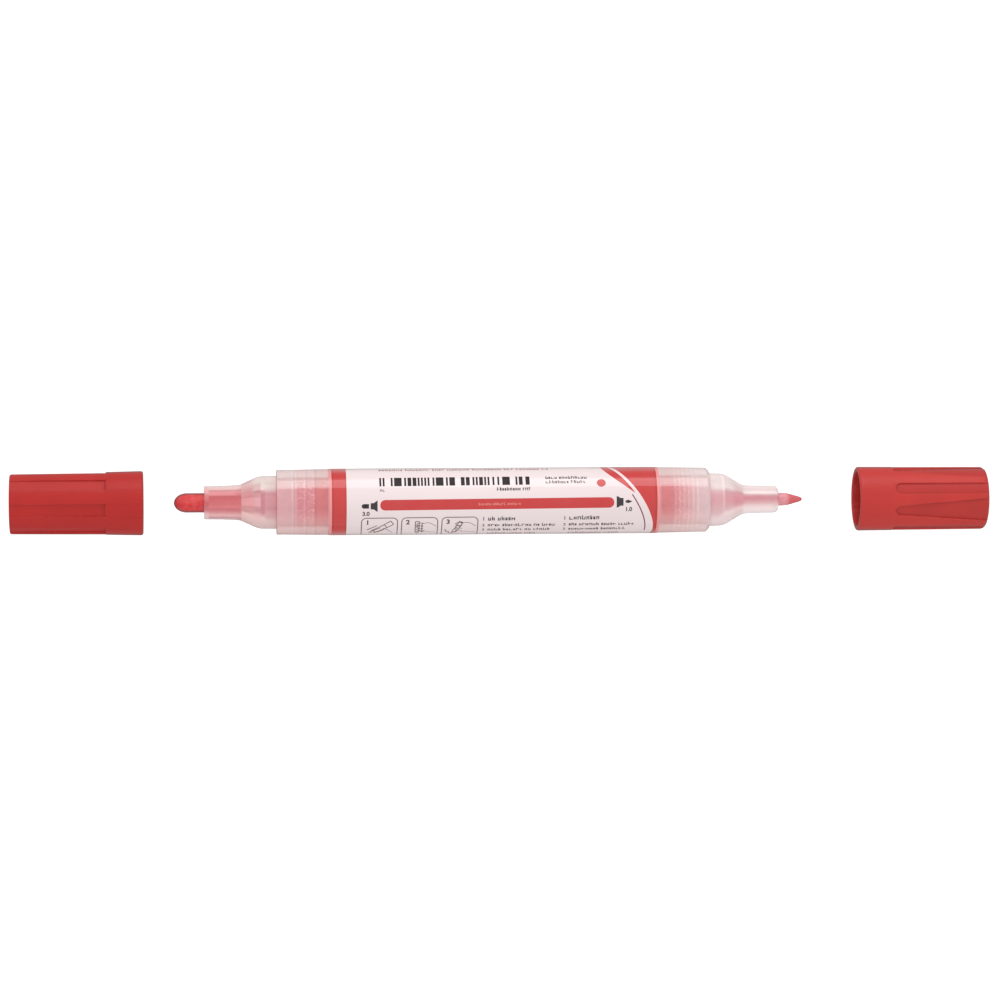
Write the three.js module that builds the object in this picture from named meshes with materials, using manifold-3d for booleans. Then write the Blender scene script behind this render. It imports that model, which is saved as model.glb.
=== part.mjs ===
// A double-ended paint marker with a spring-loaded valve behind each tip: a 3 mm bullet tip at
// one end and a 1 mm fine tip at the other. Both caps are off and laid out in line with the
// barrel. Millimetres. X runs along the marker towards the fine tip, +Z is up, and the origin is
// on the marker's axis, half way along the laid-out set.

import * as THREE from 'three';
import { mergeVertices } from 'three/addons/utils/BufferGeometryUtils.js';
import Module from 'manifold-3d';

const wasm = await Module();
wasm.setup();

// ---- Facets. Multiples of four, so that every turned part has a flat underneath ----
const BARREL_SIDES = 32;
const NOSE_SIDES = 24;
const INNER_SIDES = 16;
const BALL_SIDES = 12;
const BALL_BANDS = 8;
const RING_CORNERS = 6;

// ---- Fits ----
const TOUCH = 0.03; // between parts that touch or are pressed together
const LABEL_AIR = 0.02;
const LABEL_FILM = 0.07;

// ---- Barrel: one translucent tube, slightly crowned, with a flat stop face at each end ----
const BARREL_HALF = 46;
const BORE_R = 5.3;
const CROWN = [
  [-BARREL_HALF, 6.83],
  [-37, 6.97],
  [-24, 7.0],
  [24, 7.0],
  [37, 6.97],
  [45.4, 6.83],
];
const END_CHAMFER_R = 6.2; // the fine end has a chamfer down to this radius
const LABEL_HALF = 35;

// ---- Noses. Each end is laid out along its own +X, outward from the middle of the barrel ----
const PLUG_R = 5.2;
const PLUG_END = 38.33;
const PLUG_BORE_R = 4.1;
const SOCKET_R = 2.6; // holds the valve seat and the front of the valve cage
const SOCKET_WALL_R = 3.4;
const SOCKET_END = 46.8;
const HOLLOW_END = 48.4; // the air space round the socket
const SHOULDER = BARREL_HALF + TOUCH;

const BULLET = {
  name: 'bullet',
  turn: Math.PI,
  noseRootR: 5.62,
  noseOutside: [
    [49.2, 5.58],
    [49.9, 5.44],
    [50.6, 5.2],
    [53.2, 4.0],
    [53.7, 3.8],
    [54.4, 3.7],
    [57.5, 3.55],
    [61.1, 3.52],
    [61.3, 3.32],
  ],
  noseInside: [
    [61.3, 2.13],
    [60.4, 2.13],
    [60.2, 2.35],
    [53.3, 2.35],
    [53.3, 1.15],
    [51.6, 1.15],
    [50.15, 2.2],
  ],
  seatFront: 50.1,
  seatBack: 49.25,
  nibRear: 55.1,
  nibProfile: bulletNibProfile,
  capMouth: 74.1,
};

const FINE = {
  name: 'fine',
  turn: 0,
  noseRootR: 5.66,
  noseOutside: [
    [48.4, 5.58],
    [49.3, 5.42],
    [50.1, 5.06],
    [52.9, 3.4],
    [53.4, 3.14],
    [54.2, 3.0],
    [60.5, 2.85],
    [60.97, 2.35],
  ],
  noseInside: [
    [60.97, 1.48],
    [59.3, 1.48],
    [59.3, 1.05],
    [53.4, 1.05],
    [50.0, 1.9],
  ],
  seatFront: 49.9,
  seatBack: 49.05,
  nibRear: 53.0,
  nibProfile: fineNibProfile,
  capMouth: 77.95,
};

const ENDS = [BULLET, FINE];

// ---- Nibs ----
const BULLET_NIB_R = 2.05;
const BULLET_NIB_TIP = 67.65;
const BULLET_NIB_DOME = 2.7; // length of the rounded tip
const FINE_SHANK_R = 0.92;
const FINE_SHANK_END = 61.05;
const FINE_NIB_R = 1.4;
const FINE_CONE_START = 63.1;
const FINE_CONE_R = 1.27;
const FINE_CONE_END = 65.8;
const FINE_TIP_R = 0.5;
const FINE_NIB_TIP = 66.25;
const DOME_STEPS = 5;

// ---- Valves ----
const SEAT_HOLE_R = 1.1;
const STEM_R = 0.75;
const VALVE_HEAD_R = 1.7;
const VALVE_HEAD = 0.85; // thickness
const STEM_TAIL_R = 0.6;
const STEM_TAIL = 3.8;
const CAGE_R = 2.52;
const CAGE_BORE_R = 1.95;
const CAGE_FLANGE_R = 5.1;
const CAGE_BACK = 37.7;
const CAGE_FLANGE = 0.6; // thickness
const CAGE_FLOOR = 38.6;
const INLET = 0.8; // side of each square paint inlet through the cage floor
const INLET_AT = 1.2;
const INLETS = 4;
const SPRING_R = 1.35;
const WIRE_R = 0.18;
const SPRING_TURNS = 6;
const STEPS_PER_TURN = 9;
const WIRE_SIDES = 5;

// ---- Plug seals: a rubber ring on the bullet plug, moulded ribs on the fine plug ----
const RING_AT = 42.45;
const RING_CENTRE_R = 4.9;
const RING_WIRE_R = 0.35;
const RING_GROOVE_R = 4.52;
const RING_GROOVE = 1.0;
const SNAP_GROOVE = [38.95, 39.85];
const SHALLOW_GROOVE_R = 4.95;
const RIBS = 5;
const RIB_PITCH = 0.955;
const RIB_START = 39.08;
const RIB_WIDTH = 0.45;

// ---- Caps ----
const CAP_WALL_END = 1.6;
const CAP_LEAD = 6.0; // depth of the wide bore that slides over the nose
const CAP_BORE_R = 5.0;
const BULLET_CAP = {
  length: 28.05,
  mouthBoreR: 5.72,
  ringR: [6.64, 6.8],
  ring: 7.9,
  bodyR: [6.4, 6.56],
  endRound: 0.4,
};
const FINE_CAP = {
  length: 27.85,
  mouthBoreR: 5.76,
  ringR: [6.77, 6.82],
  ring: 7.6,
  bodyR: [6.63, 6.73],
  endRound: 1.1,
};
const FLUTES = 7;
const FLUTE_FLOOR = 6.0; // distance of a flat flute floor from the axis
const FLUTE_WIDTH = 2.7;
const FLUTE_FIRST = 14.0; // degrees from straight up
const GROOVE_FLOOR_R = 6.3;
const GROOVE_PAIRS = 4;
const NARROW_FIRST = -19;
const NARROW_WIDTH = 2.4;
const WEDGE_FIRST = 23.7;
const WEDGE_WIDTH_FRONT = 2.0;
const WEDGE_WIDTH_BACK = 5.3;

// ---- Cap liners: soft inner cups that close over the nose tube ----
const LINER_R = 4.95;
const BULLET_LINER = {
  start: 8.7,
  boreR: 3.88,
  beadAt: 12.6,
  beadR: 3.64,
  tipR: 2.7,
  tipStart: 16.3,
  end: 25.0,
};
const FINE_LINER = {
  start: 8.3,
  boreR: 3.22,
  beadAt: 11.8,
  beadR: 3.04,
  tipR: 2.0,
  tipStart: 15.9,
  end: 23.6,
};
const BEAD_HALF = 0.5;

// ---- Mixing ball ----
const BALL_R = 2.5;
const BALL_AT = 12;

// ---- Finishes ----
const clearPlastic = { color: 0xead8d6, roughness: 0.18, metalness: 0, transparent: true, opacity: 0.5 };
const filmWhite = { color: 0xf2dfe0, roughness: 0.35, metalness: 0 };
const capRed = { color: 0xc03a3a, roughness: 0.38, metalness: 0 };
const linerRed = { color: 0xb04a48, roughness: 0.5, metalness: 0 };
const feltRed = { color: 0xc8242a, roughness: 0.85, metalness: 0 };
const rubberPale = { color: 0xe8d2d0, roughness: 0.55, metalness: 0 };
const acetalWhite = { color: 0xefe6e2, roughness: 0.4, metalness: 0 };
const springSteel = { color: 0xb9bcc0, roughness: 0.3, metalness: 1 };
const ballSteel = { color: 0xc9cbd0, roughness: 0.12, metalness: 1 };

// ---- Helpers ----

// A solid of revolution about X from [x, radius] points, which run outward, along the outside
// towards +X and back inside. A profile off the axis closes on itself.
function turned(profile, sides) {
  const points = profile.map(([x, r]) => new THREE.Vector2(r, x));
  if (points[0].x > 0) {
    points.push(points[0].clone());
  }
  const geometry = new THREE.LatheGeometry(points, sides, Math.PI / sides);
  geometry.rotateZ(-Math.PI / 2);
  return geometry;
}

function node(name, geometry, finish) {
  const mesh = new THREE.Mesh(geometry, new THREE.MeshStandardMaterial(finish));
  mesh.name = name;
  return mesh;
}

function toSolid(geometry) {
  const bare = geometry.clone();
  bare.deleteAttribute('normal');
  bare.deleteAttribute('uv');
  const merged = mergeVertices(bare, 1e-4);
  const corners = merged.index.array;
  const kept = [];
  for (let i = 0; i < corners.length; i += 3) {
    const [a, b, c] = corners.slice(i, i + 3);
    if (a !== b && b !== c && c !== a) {
      kept.push(a, b, c);
    }
  }
  const vertProperties = new Float32Array(merged.attributes.position.array);
  return new wasm.Manifold(new wasm.Mesh({ numProp: 3, vertProperties, triVerts: new Uint32Array(kept) }));
}

function toGeometry(solid) {
  const mesh = solid.getMesh();
  const geometry = new THREE.BufferGeometry();
  geometry.setAttribute('position', new THREE.BufferAttribute(mesh.vertProperties, 3));
  geometry.setIndex(new THREE.BufferAttribute(mesh.triVerts, 1));
  return geometry;
}

// The radius of the crowned barrel at x, straight between the stations of CROWN.
function crownRadius(x) {
  const next = Math.max(1, CROWN.findIndex(([at]) => at >= x));
  const [x0, r0] = CROWN[next - 1];
  const [x1, r1] = CROWN[next];
  return THREE.MathUtils.mapLinear(x, x0, x1, r0, r1);
}

// ---- Barrel and label ----

function barrel() {
  const profile = [
    [-BARREL_HALF, BORE_R],
    ...CROWN,
    [BARREL_HALF, END_CHAMFER_R],
    [BARREL_HALF, BORE_R],
  ];
  return turned(profile, BARREL_SIDES);
}

function labelSleeve() {
  const inner = [-LABEL_HALF, ...CROWN.map(([x]) => x), LABEL_HALF]
    .filter((x) => Math.abs(x) <= LABEL_HALF)
    .map((x) => [x, crownRadius(x) + LABEL_AIR]);
  const outer = inner.map(([x, r]) => [x, r + LABEL_FILM]);
  return turned([...outer, ...inner.reverse()], BARREL_SIDES);
}

// ---- Noses ----

function bulletPlug() {
  return [
    [SNAP_GROOVE[0], PLUG_R],
    [SNAP_GROOVE[0], SHALLOW_GROOVE_R],
    [SNAP_GROOVE[1], SHALLOW_GROOVE_R],
    [SNAP_GROOVE[1], PLUG_R],
    [RING_AT - RING_GROOVE / 2, PLUG_R],
    [RING_AT - RING_GROOVE / 2, RING_GROOVE_R],
    [RING_AT + RING_GROOVE / 2, RING_GROOVE_R],
    [RING_AT + RING_GROOVE / 2, PLUG_R],
  ];
}

function finePlug() {
  const outline = [];
  for (let i = 0; i < RIBS; i += 1) {
    const start = RIB_START + i * RIB_PITCH + RIB_WIDTH / 2;
    const end = start + RIB_PITCH - RIB_WIDTH;
    outline.push([start, PLUG_R], [start, SHALLOW_GROOVE_R], [end, SHALLOW_GROOVE_R], [end, PLUG_R]);
  }
  return outline;
}

function nose(end, plug) {
  const profile = [
    [PLUG_END, PLUG_BORE_R],
    [PLUG_END, PLUG_R],
    ...plug,
    [SHOULDER, PLUG_R],
    [SHOULDER, end.noseRootR],
    ...end.noseOutside,
    ...end.noseInside,
    [end.seatFront, SOCKET_R],
    [SOCKET_END, SOCKET_R],
    [SOCKET_END, SOCKET_WALL_R],
    [HOLLOW_END, SOCKET_WALL_R],
    [HOLLOW_END, PLUG_BORE_R],
  ];
  return turned(profile, NOSE_SIDES);
}

function noseSeal() {
  const ring = [];
  for (let i = 0; i < RING_CORNERS; i += 1) {
    const angle = (2 * Math.PI * i) / RING_CORNERS;
    ring.push([RING_AT - RING_WIRE_R * Math.cos(angle), RING_CENTRE_R + RING_WIRE_R * Math.sin(angle)]);
  }
  return turned(ring, BARREL_SIDES);
}

// ---- Nibs ----

function bulletNibProfile() {
  const domeStart = BULLET_NIB_TIP - BULLET_NIB_DOME;
  const profile = [
    [BULLET.nibRear, 0],
    [BULLET.nibRear, BULLET_NIB_R],
  ];
  for (let i = 0; i <= DOME_STEPS; i += 1) {
    const angle = (Math.PI / 2) * (i / DOME_STEPS);
    const x = domeStart + BULLET_NIB_DOME * Math.sin(angle);
    profile.push([x, i === DOME_STEPS ? 0 : BULLET_NIB_R * Math.cos(angle)]);
  }
  return profile;
}

function fineNibProfile() {
  const rounding = FINE_NIB_TIP - FINE_CONE_END;
  return [
    [FINE.nibRear, 0],
    [FINE.nibRear, FINE_SHANK_R],
    [FINE_SHANK_END, FINE_SHANK_R],
    [FINE_SHANK_END, FINE_NIB_R],
    [FINE_CONE_START - 0.6, FINE_NIB_R - 0.05],
    [FINE_CONE_START, FINE_CONE_R],
    [FINE_CONE_END, FINE_TIP_R],
    [FINE_CONE_END + rounding * 0.7, FINE_TIP_R * 0.7],
    [FINE_NIB_TIP, 0],
  ];
}

// ---- Valve: seat ring, stem, cage and spring ----

function valveSeat(end) {
  const back = end.seatBack;
  const front = end.seatFront - TOUCH;
  return turned(
    [
      [back, SEAT_HOLE_R],
      [back, SOCKET_R - TOUCH * 2],
      [front, SOCKET_R - TOUCH * 2],
      [front, SEAT_HOLE_R],
    ],
    NOSE_SIDES,
  );
}

function headFront(end) {
  return end.seatBack - TOUCH;
}

function headBack(end) {
  return headFront(end) - VALVE_HEAD;
}

function valveStem(end) {
  return turned(
    [
      [headBack(end) - STEM_TAIL, 0],
      [headBack(end) - STEM_TAIL, STEM_TAIL_R],
      [headBack(end), STEM_TAIL_R],
      [headBack(end), VALVE_HEAD_R],
      [headFront(end), VALVE_HEAD_R],
      [headFront(end), STEM_R],
      [end.nibRear - TOUCH, STEM_R],
      [end.nibRear - TOUCH, 0],
    ],
    INNER_SIDES,
  );
}

function springCage(end) {
  const front = end.seatBack - TOUCH;
  const shell = toSolid(
    turned(
      [
        [CAGE_BACK, 0],
        [CAGE_BACK, CAGE_FLANGE_R],
        [CAGE_BACK + CAGE_FLANGE, CAGE_FLANGE_R],
        [CAGE_BACK + CAGE_FLANGE, CAGE_R],
        [front, CAGE_R],
        [front, CAGE_BORE_R],
        [CAGE_FLOOR, CAGE_BORE_R],
        [CAGE_FLOOR, 0],
      ],
      INNER_SIDES,
    ),
  );
  let cage = shell;
  for (let i = 0; i < INLETS; i += 1) {
    const inlet = new THREE.BoxGeometry(4, INLET, INLET);
    inlet.translate(CAGE_BACK, 0, INLET_AT);
    inlet.rotateX((2 * Math.PI * i) / INLETS);
    cage = cage.subtract(toSolid(inlet));
  }
  return toGeometry(cage);
}

class Helix extends THREE.Curve {
  constructor(start, finish, radius, turns) {
    super();
    Object.assign(this, { start, finish, radius, turns });
  }

  getPoint(t, target = new THREE.Vector3()) {
    const angle = 2 * Math.PI * this.turns * t;
    const x = THREE.MathUtils.lerp(this.start, this.finish, t);
    return target.set(x, this.radius * Math.cos(angle), this.radius * Math.sin(angle));
  }
}

function valveSpring(end) {
  const wire = new THREE.Shape();
  for (let i = 0; i < WIRE_SIDES; i += 1) {
    const angle = (2 * Math.PI * i) / WIRE_SIDES;
    const point = [WIRE_R * Math.cos(angle), WIRE_R * Math.sin(angle)];
    if (i === 0) {
      wire.moveTo(...point);
    } else {
      wire.lineTo(...point);
    }
  }
  wire.closePath();
  const inset = WIRE_R + TOUCH * 2;
  const extrudePath = new Helix(CAGE_FLOOR + inset, headBack(end) - inset, SPRING_R, SPRING_TURNS);
  const steps = SPRING_TURNS * STEPS_PER_TURN;
  return new THREE.ExtrudeGeometry(wire, { extrudePath, steps, bevelEnabled: false });
}

// ---- Caps, with their mouths at end.capMouth ----

function capShell(end, cap) {
  const mouth = end.capMouth;
  const closed = mouth + cap.length;
  return turned(
    [
      [mouth, cap.mouthBoreR],
      [mouth, cap.ringR[1] - 0.2],
      [mouth + 0.2, cap.ringR[1]],
      [mouth + cap.ring, cap.ringR[0]],
      [mouth + cap.ring, cap.bodyR[1]],
      [closed - cap.endRound, cap.bodyR[0]],
      [closed - cap.endRound * 0.3, cap.bodyR[0] - cap.endRound * 0.3],
      [closed, cap.bodyR[0] - cap.endRound],
      [closed, 0],
      [closed - CAP_WALL_END, 0],
      [closed - CAP_WALL_END, CAP_BORE_R],
      [mouth + CAP_LEAD + 0.6, CAP_BORE_R],
      [mouth + CAP_LEAD, cap.mouthBoreR],
      [mouth, cap.mouthBoreR],
    ],
    BARREL_SIDES,
  );
}

// A groove cutter: a trapezium in plan, from `start` to beyond the closed end, standing from
// `floor` outwards, and turned about the axis to `degrees` from straight up.
function grooveCutter(start, finish, widthFront, widthBack, floor, degrees) {
  const plan = new THREE.Shape([
    new THREE.Vector2(start, -widthFront / 2),
    new THREE.Vector2(finish, -widthBack / 2),
    new THREE.Vector2(finish, widthBack / 2),
    new THREE.Vector2(start, widthFront / 2),
  ]);
  const cutter = new THREE.ExtrudeGeometry(plan, { depth: 3, bevelEnabled: false });
  cutter.translate(0, 0, floor);
  cutter.rotateX(THREE.MathUtils.degToRad(degrees));
  return toSolid(cutter);
}

function bulletCap() {
  const start = BULLET.capMouth + BULLET_CAP.ring;
  const finish = BULLET.capMouth + BULLET_CAP.length + 1;
  let cap = toSolid(capShell(BULLET, BULLET_CAP));
  for (let i = 0; i < FLUTES; i += 1) {
    const degrees = -(FLUTE_FIRST + (360 / FLUTES) * i);
    cap = cap.subtract(grooveCutter(start, finish, FLUTE_WIDTH, FLUTE_WIDTH, FLUTE_FLOOR, degrees));
  }
  return toGeometry(cap);
}

function fineCap() {
  const start = FINE.capMouth + FINE_CAP.ring;
  const finish = FINE.capMouth + FINE_CAP.length + 1;
  const core = toSolid(
    turned(
      [
        [start - 1, 0],
        [start - 1, GROOVE_FLOOR_R],
        [finish + 1, GROOVE_FLOOR_R],
        [finish + 1, 0],
      ],
      BARREL_SIDES,
    ),
  );
  let cap = toSolid(capShell(FINE, FINE_CAP));
  for (let i = 0; i < GROOVE_PAIRS; i += 1) {
    const turn = (360 / GROOVE_PAIRS) * i;
    const inside = GROOVE_FLOOR_R - 2;
    const narrow = [NARROW_WIDTH, NARROW_WIDTH, inside, NARROW_FIRST + turn];
    const wedge = [WEDGE_WIDTH_FRONT, WEDGE_WIDTH_BACK, inside, WEDGE_FIRST + turn];
    for (const groove of [narrow, wedge]) {
      cap = cap.subtract(grooveCutter(start, finish, ...groove).subtract(core));
    }
  }
  return toGeometry(cap);
}

function capLiner(end, cap, liner) {
  const mouth = end.capMouth;
  const back = mouth + cap.length - CAP_WALL_END - TOUCH;
  return turned(
    [
      [mouth + liner.start, liner.boreR],
      [mouth + liner.start, LINER_R],
      [back, LINER_R],
      [back, 0],
      [mouth + liner.end, 0],
      [mouth + liner.end, liner.tipR],
      [mouth + liner.tipStart, liner.tipR],
      [mouth + liner.tipStart, liner.boreR],
      [mouth + liner.beadAt + BEAD_HALF, liner.boreR],
      [mouth + liner.beadAt, liner.beadR],
      [mouth + liner.beadAt - BEAD_HALF, liner.boreR],
      [mouth + liner.start, liner.boreR],
    ],
    NOSE_SIDES,
  );
}

// ---- Mixing ball, resting on the lower wall of the bore ----

function mixingBall() {
  const geometry = new THREE.SphereGeometry(BALL_R, BALL_SIDES, BALL_BANDS);
  const flatWall = BORE_R * Math.cos(Math.PI / BARREL_SIDES);
  geometry.translate(BALL_AT, 0, BALL_R + TOUCH - flatWall);
  return geometry;
}

// ---- Assembly ----

const marker = new THREE.Group();
const reach = { bullet: BULLET.capMouth + BULLET_CAP.length, fine: FINE.capMouth + FINE_CAP.length };
marker.position.x = (reach.bullet - reach.fine) / 2;
marker.add(node('barrel', barrel(), clearPlastic));
marker.add(node('label_sleeve', labelSleeve(), filmWhite));
marker.add(node('mixing_ball', mixingBall(), ballSteel));

for (const end of ENDS) {
  const group = new THREE.Group();
  group.rotation.z = end.turn;
  const plug = end === BULLET ? bulletPlug() : finePlug();
  group.add(node(`${end.name}_nose`, nose(end, plug), clearPlastic));
  group.add(node(`${end.name}_nib`, turned(end.nibProfile(), INNER_SIDES), feltRed));
  group.add(node(`${end.name}_valve_seat`, valveSeat(end), rubberPale));
  group.add(node(`${end.name}_valve_stem`, valveStem(end), acetalWhite));
  group.add(node(`${end.name}_spring_cage`, springCage(end), acetalWhite));
  group.add(node(`${end.name}_valve_spring`, valveSpring(end), springSteel));
  if (end === BULLET) {
    group.add(node('bullet_nose_seal', noseSeal(), rubberPale));
    group.add(node('bullet_cap', bulletCap(), capRed));
    group.add(node('bullet_cap_liner', capLiner(BULLET, BULLET_CAP, BULLET_LINER), linerRed));
  } else {
    group.add(node('fine_cap', fineCap(), capRed));
    group.add(node('fine_cap_liner', capLiner(FINE, FINE_CAP, FINE_LINER), linerRed));
  }
  marker.add(group);
}

const scene = new THREE.Group();
scene.add(marker);

export default scene;
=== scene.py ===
"""Looks of a double-ended paint marker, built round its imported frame.

The marker lies along X with the bullet end towards -X, the fine end towards +X and both caps off.
Lengths in this file are in millimetres unless a name ends in _M. "Out" is the distance along the
axis from the middle of the barrel towards an end, and "up the wall" is the arc length round the
barrel from its top line, positive towards +Y.
"""

import math
import random

import bmesh
import bpy
from mathutils import Matrix, Vector


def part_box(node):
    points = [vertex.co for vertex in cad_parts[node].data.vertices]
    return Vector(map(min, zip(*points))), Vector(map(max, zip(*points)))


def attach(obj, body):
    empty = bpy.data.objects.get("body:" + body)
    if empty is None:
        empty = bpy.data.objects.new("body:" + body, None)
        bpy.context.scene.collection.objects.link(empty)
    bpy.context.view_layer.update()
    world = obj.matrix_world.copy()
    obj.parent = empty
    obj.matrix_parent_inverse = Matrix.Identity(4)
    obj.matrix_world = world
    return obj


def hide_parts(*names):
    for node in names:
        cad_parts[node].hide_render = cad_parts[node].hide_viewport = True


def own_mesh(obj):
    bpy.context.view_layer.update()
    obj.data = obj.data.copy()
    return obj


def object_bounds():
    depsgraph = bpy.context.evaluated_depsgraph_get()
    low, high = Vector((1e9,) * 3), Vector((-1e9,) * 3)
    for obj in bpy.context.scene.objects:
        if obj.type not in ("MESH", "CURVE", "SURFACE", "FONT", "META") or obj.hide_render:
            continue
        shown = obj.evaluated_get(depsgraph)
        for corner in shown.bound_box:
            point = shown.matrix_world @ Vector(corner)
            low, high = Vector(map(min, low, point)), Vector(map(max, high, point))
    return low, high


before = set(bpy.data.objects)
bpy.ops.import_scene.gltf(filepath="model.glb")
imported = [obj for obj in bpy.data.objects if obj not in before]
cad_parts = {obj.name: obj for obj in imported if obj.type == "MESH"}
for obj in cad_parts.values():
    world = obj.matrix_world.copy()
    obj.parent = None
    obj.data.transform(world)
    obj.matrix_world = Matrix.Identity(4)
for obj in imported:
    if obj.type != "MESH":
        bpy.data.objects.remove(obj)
cad_low, cad_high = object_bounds()

MM = 0.001
BULLET = -1
FINE = 1
SIDE_NAME = {BULLET: "bullet", FINE: "fine"}

# ---- Places taken from the frame ----


def node_span(node):
    """Lowest and highest X of a node."""
    low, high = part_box(node)
    return low.x / MM, high.x / MM


def node_radius(node):
    """Largest distance of a turned node from the axis."""
    return max(math.hypot(vert.co.y, vert.co.z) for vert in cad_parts[node].data.vertices) / MM


barrel_from, barrel_to = node_span("barrel")
MIDDLE = (barrel_from + barrel_to) / 2
BARREL_HALF = (barrel_to - barrel_from) / 2
LABEL_HALF = (node_span("label_sleeve")[1] - node_span("label_sleeve")[0]) / 2
BARREL_R = node_radius("barrel")


def out_of(node, side, far):
    """Distance of a node's near or far end from the middle of the barrel."""
    span = node_span(node)
    reach = [side * (x - MIDDLE) for x in span]
    return max(reach) if far else min(reach)


# ---- Barrel and film ----
BORE_R = 5.3
STRAIGHT = 24.0  # the barrel is straight this far out, then narrows a little
TAPER = 37.0
CROWN = [(0.0, 0.0), (STRAIGHT, 0.0), (TAPER, -0.03), (BARREL_HALF, -0.17)]
FINE_END_CHAMFER = 0.6
FILM_AIR = 0.02
FILM = 0.07
FILM_EDGE = 0.55  # clear margin of film past the print
BAND = 3.1  # width of the red band at the bullet end
PRINT_SKEW = 0.0065  # the print runs very slightly uphill towards the fine end
SKEW_FROM = -8.0
SEAM_LAP = 2.2
SEAM_STEP = 0.045
PRINT = 0.008

# ---- Plug, socket and cage, the same at both ends ----
SHOULDER = BARREL_HALF + 0.03
PLUG_R = 5.2
PLUG_END = 38.33
PLUG_BORE_R = 4.1
SOCKET_R = 2.6
SOCKET_WALL_R = 3.4
SOCKET_END = 46.8
HOLLOW_END = 48.4
GROOVE_R = 4.95
CAGE_BACK = 37.7
CAGE_FLANGE = 0.6
CAGE_FLANGE_R = 5.1
CAGE_R = 2.52
CAGE_BORE_R = 1.95
CAGE_FLOOR = 38.6
INLET = 0.8
INLET_AT = 1.2
SEAT_HOLE_R = 1.1
SEAT_R = SOCKET_R - 0.06
STEM_R = 0.75
HEAD_R = 1.7
HEAD = 0.85
TAIL_R = 0.6
TAIL = 3.8
TOUCH = 0.03
SPRING_R = 1.35
WIRE_R = 0.18
SPRING_TURNS = 7

SEAT_FRONT = {BULLET: 50.1, FINE: 49.9}
SEAT_BACK = {BULLET: 49.25, FINE: 49.05}

FILLET_STEPS = 4
SIDES = 128


# ---- Colour and material helpers ----


def srgb(red, green, blue):
    """A display colour (0 to 255) as linear light."""

    def linear(level):
        share = level / 255
        return share / 12.92 if share <= 0.04045 else ((share + 0.055) / 1.055) ** 2.4

    return (linear(red), linear(green), linear(blue), 1.0)


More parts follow.
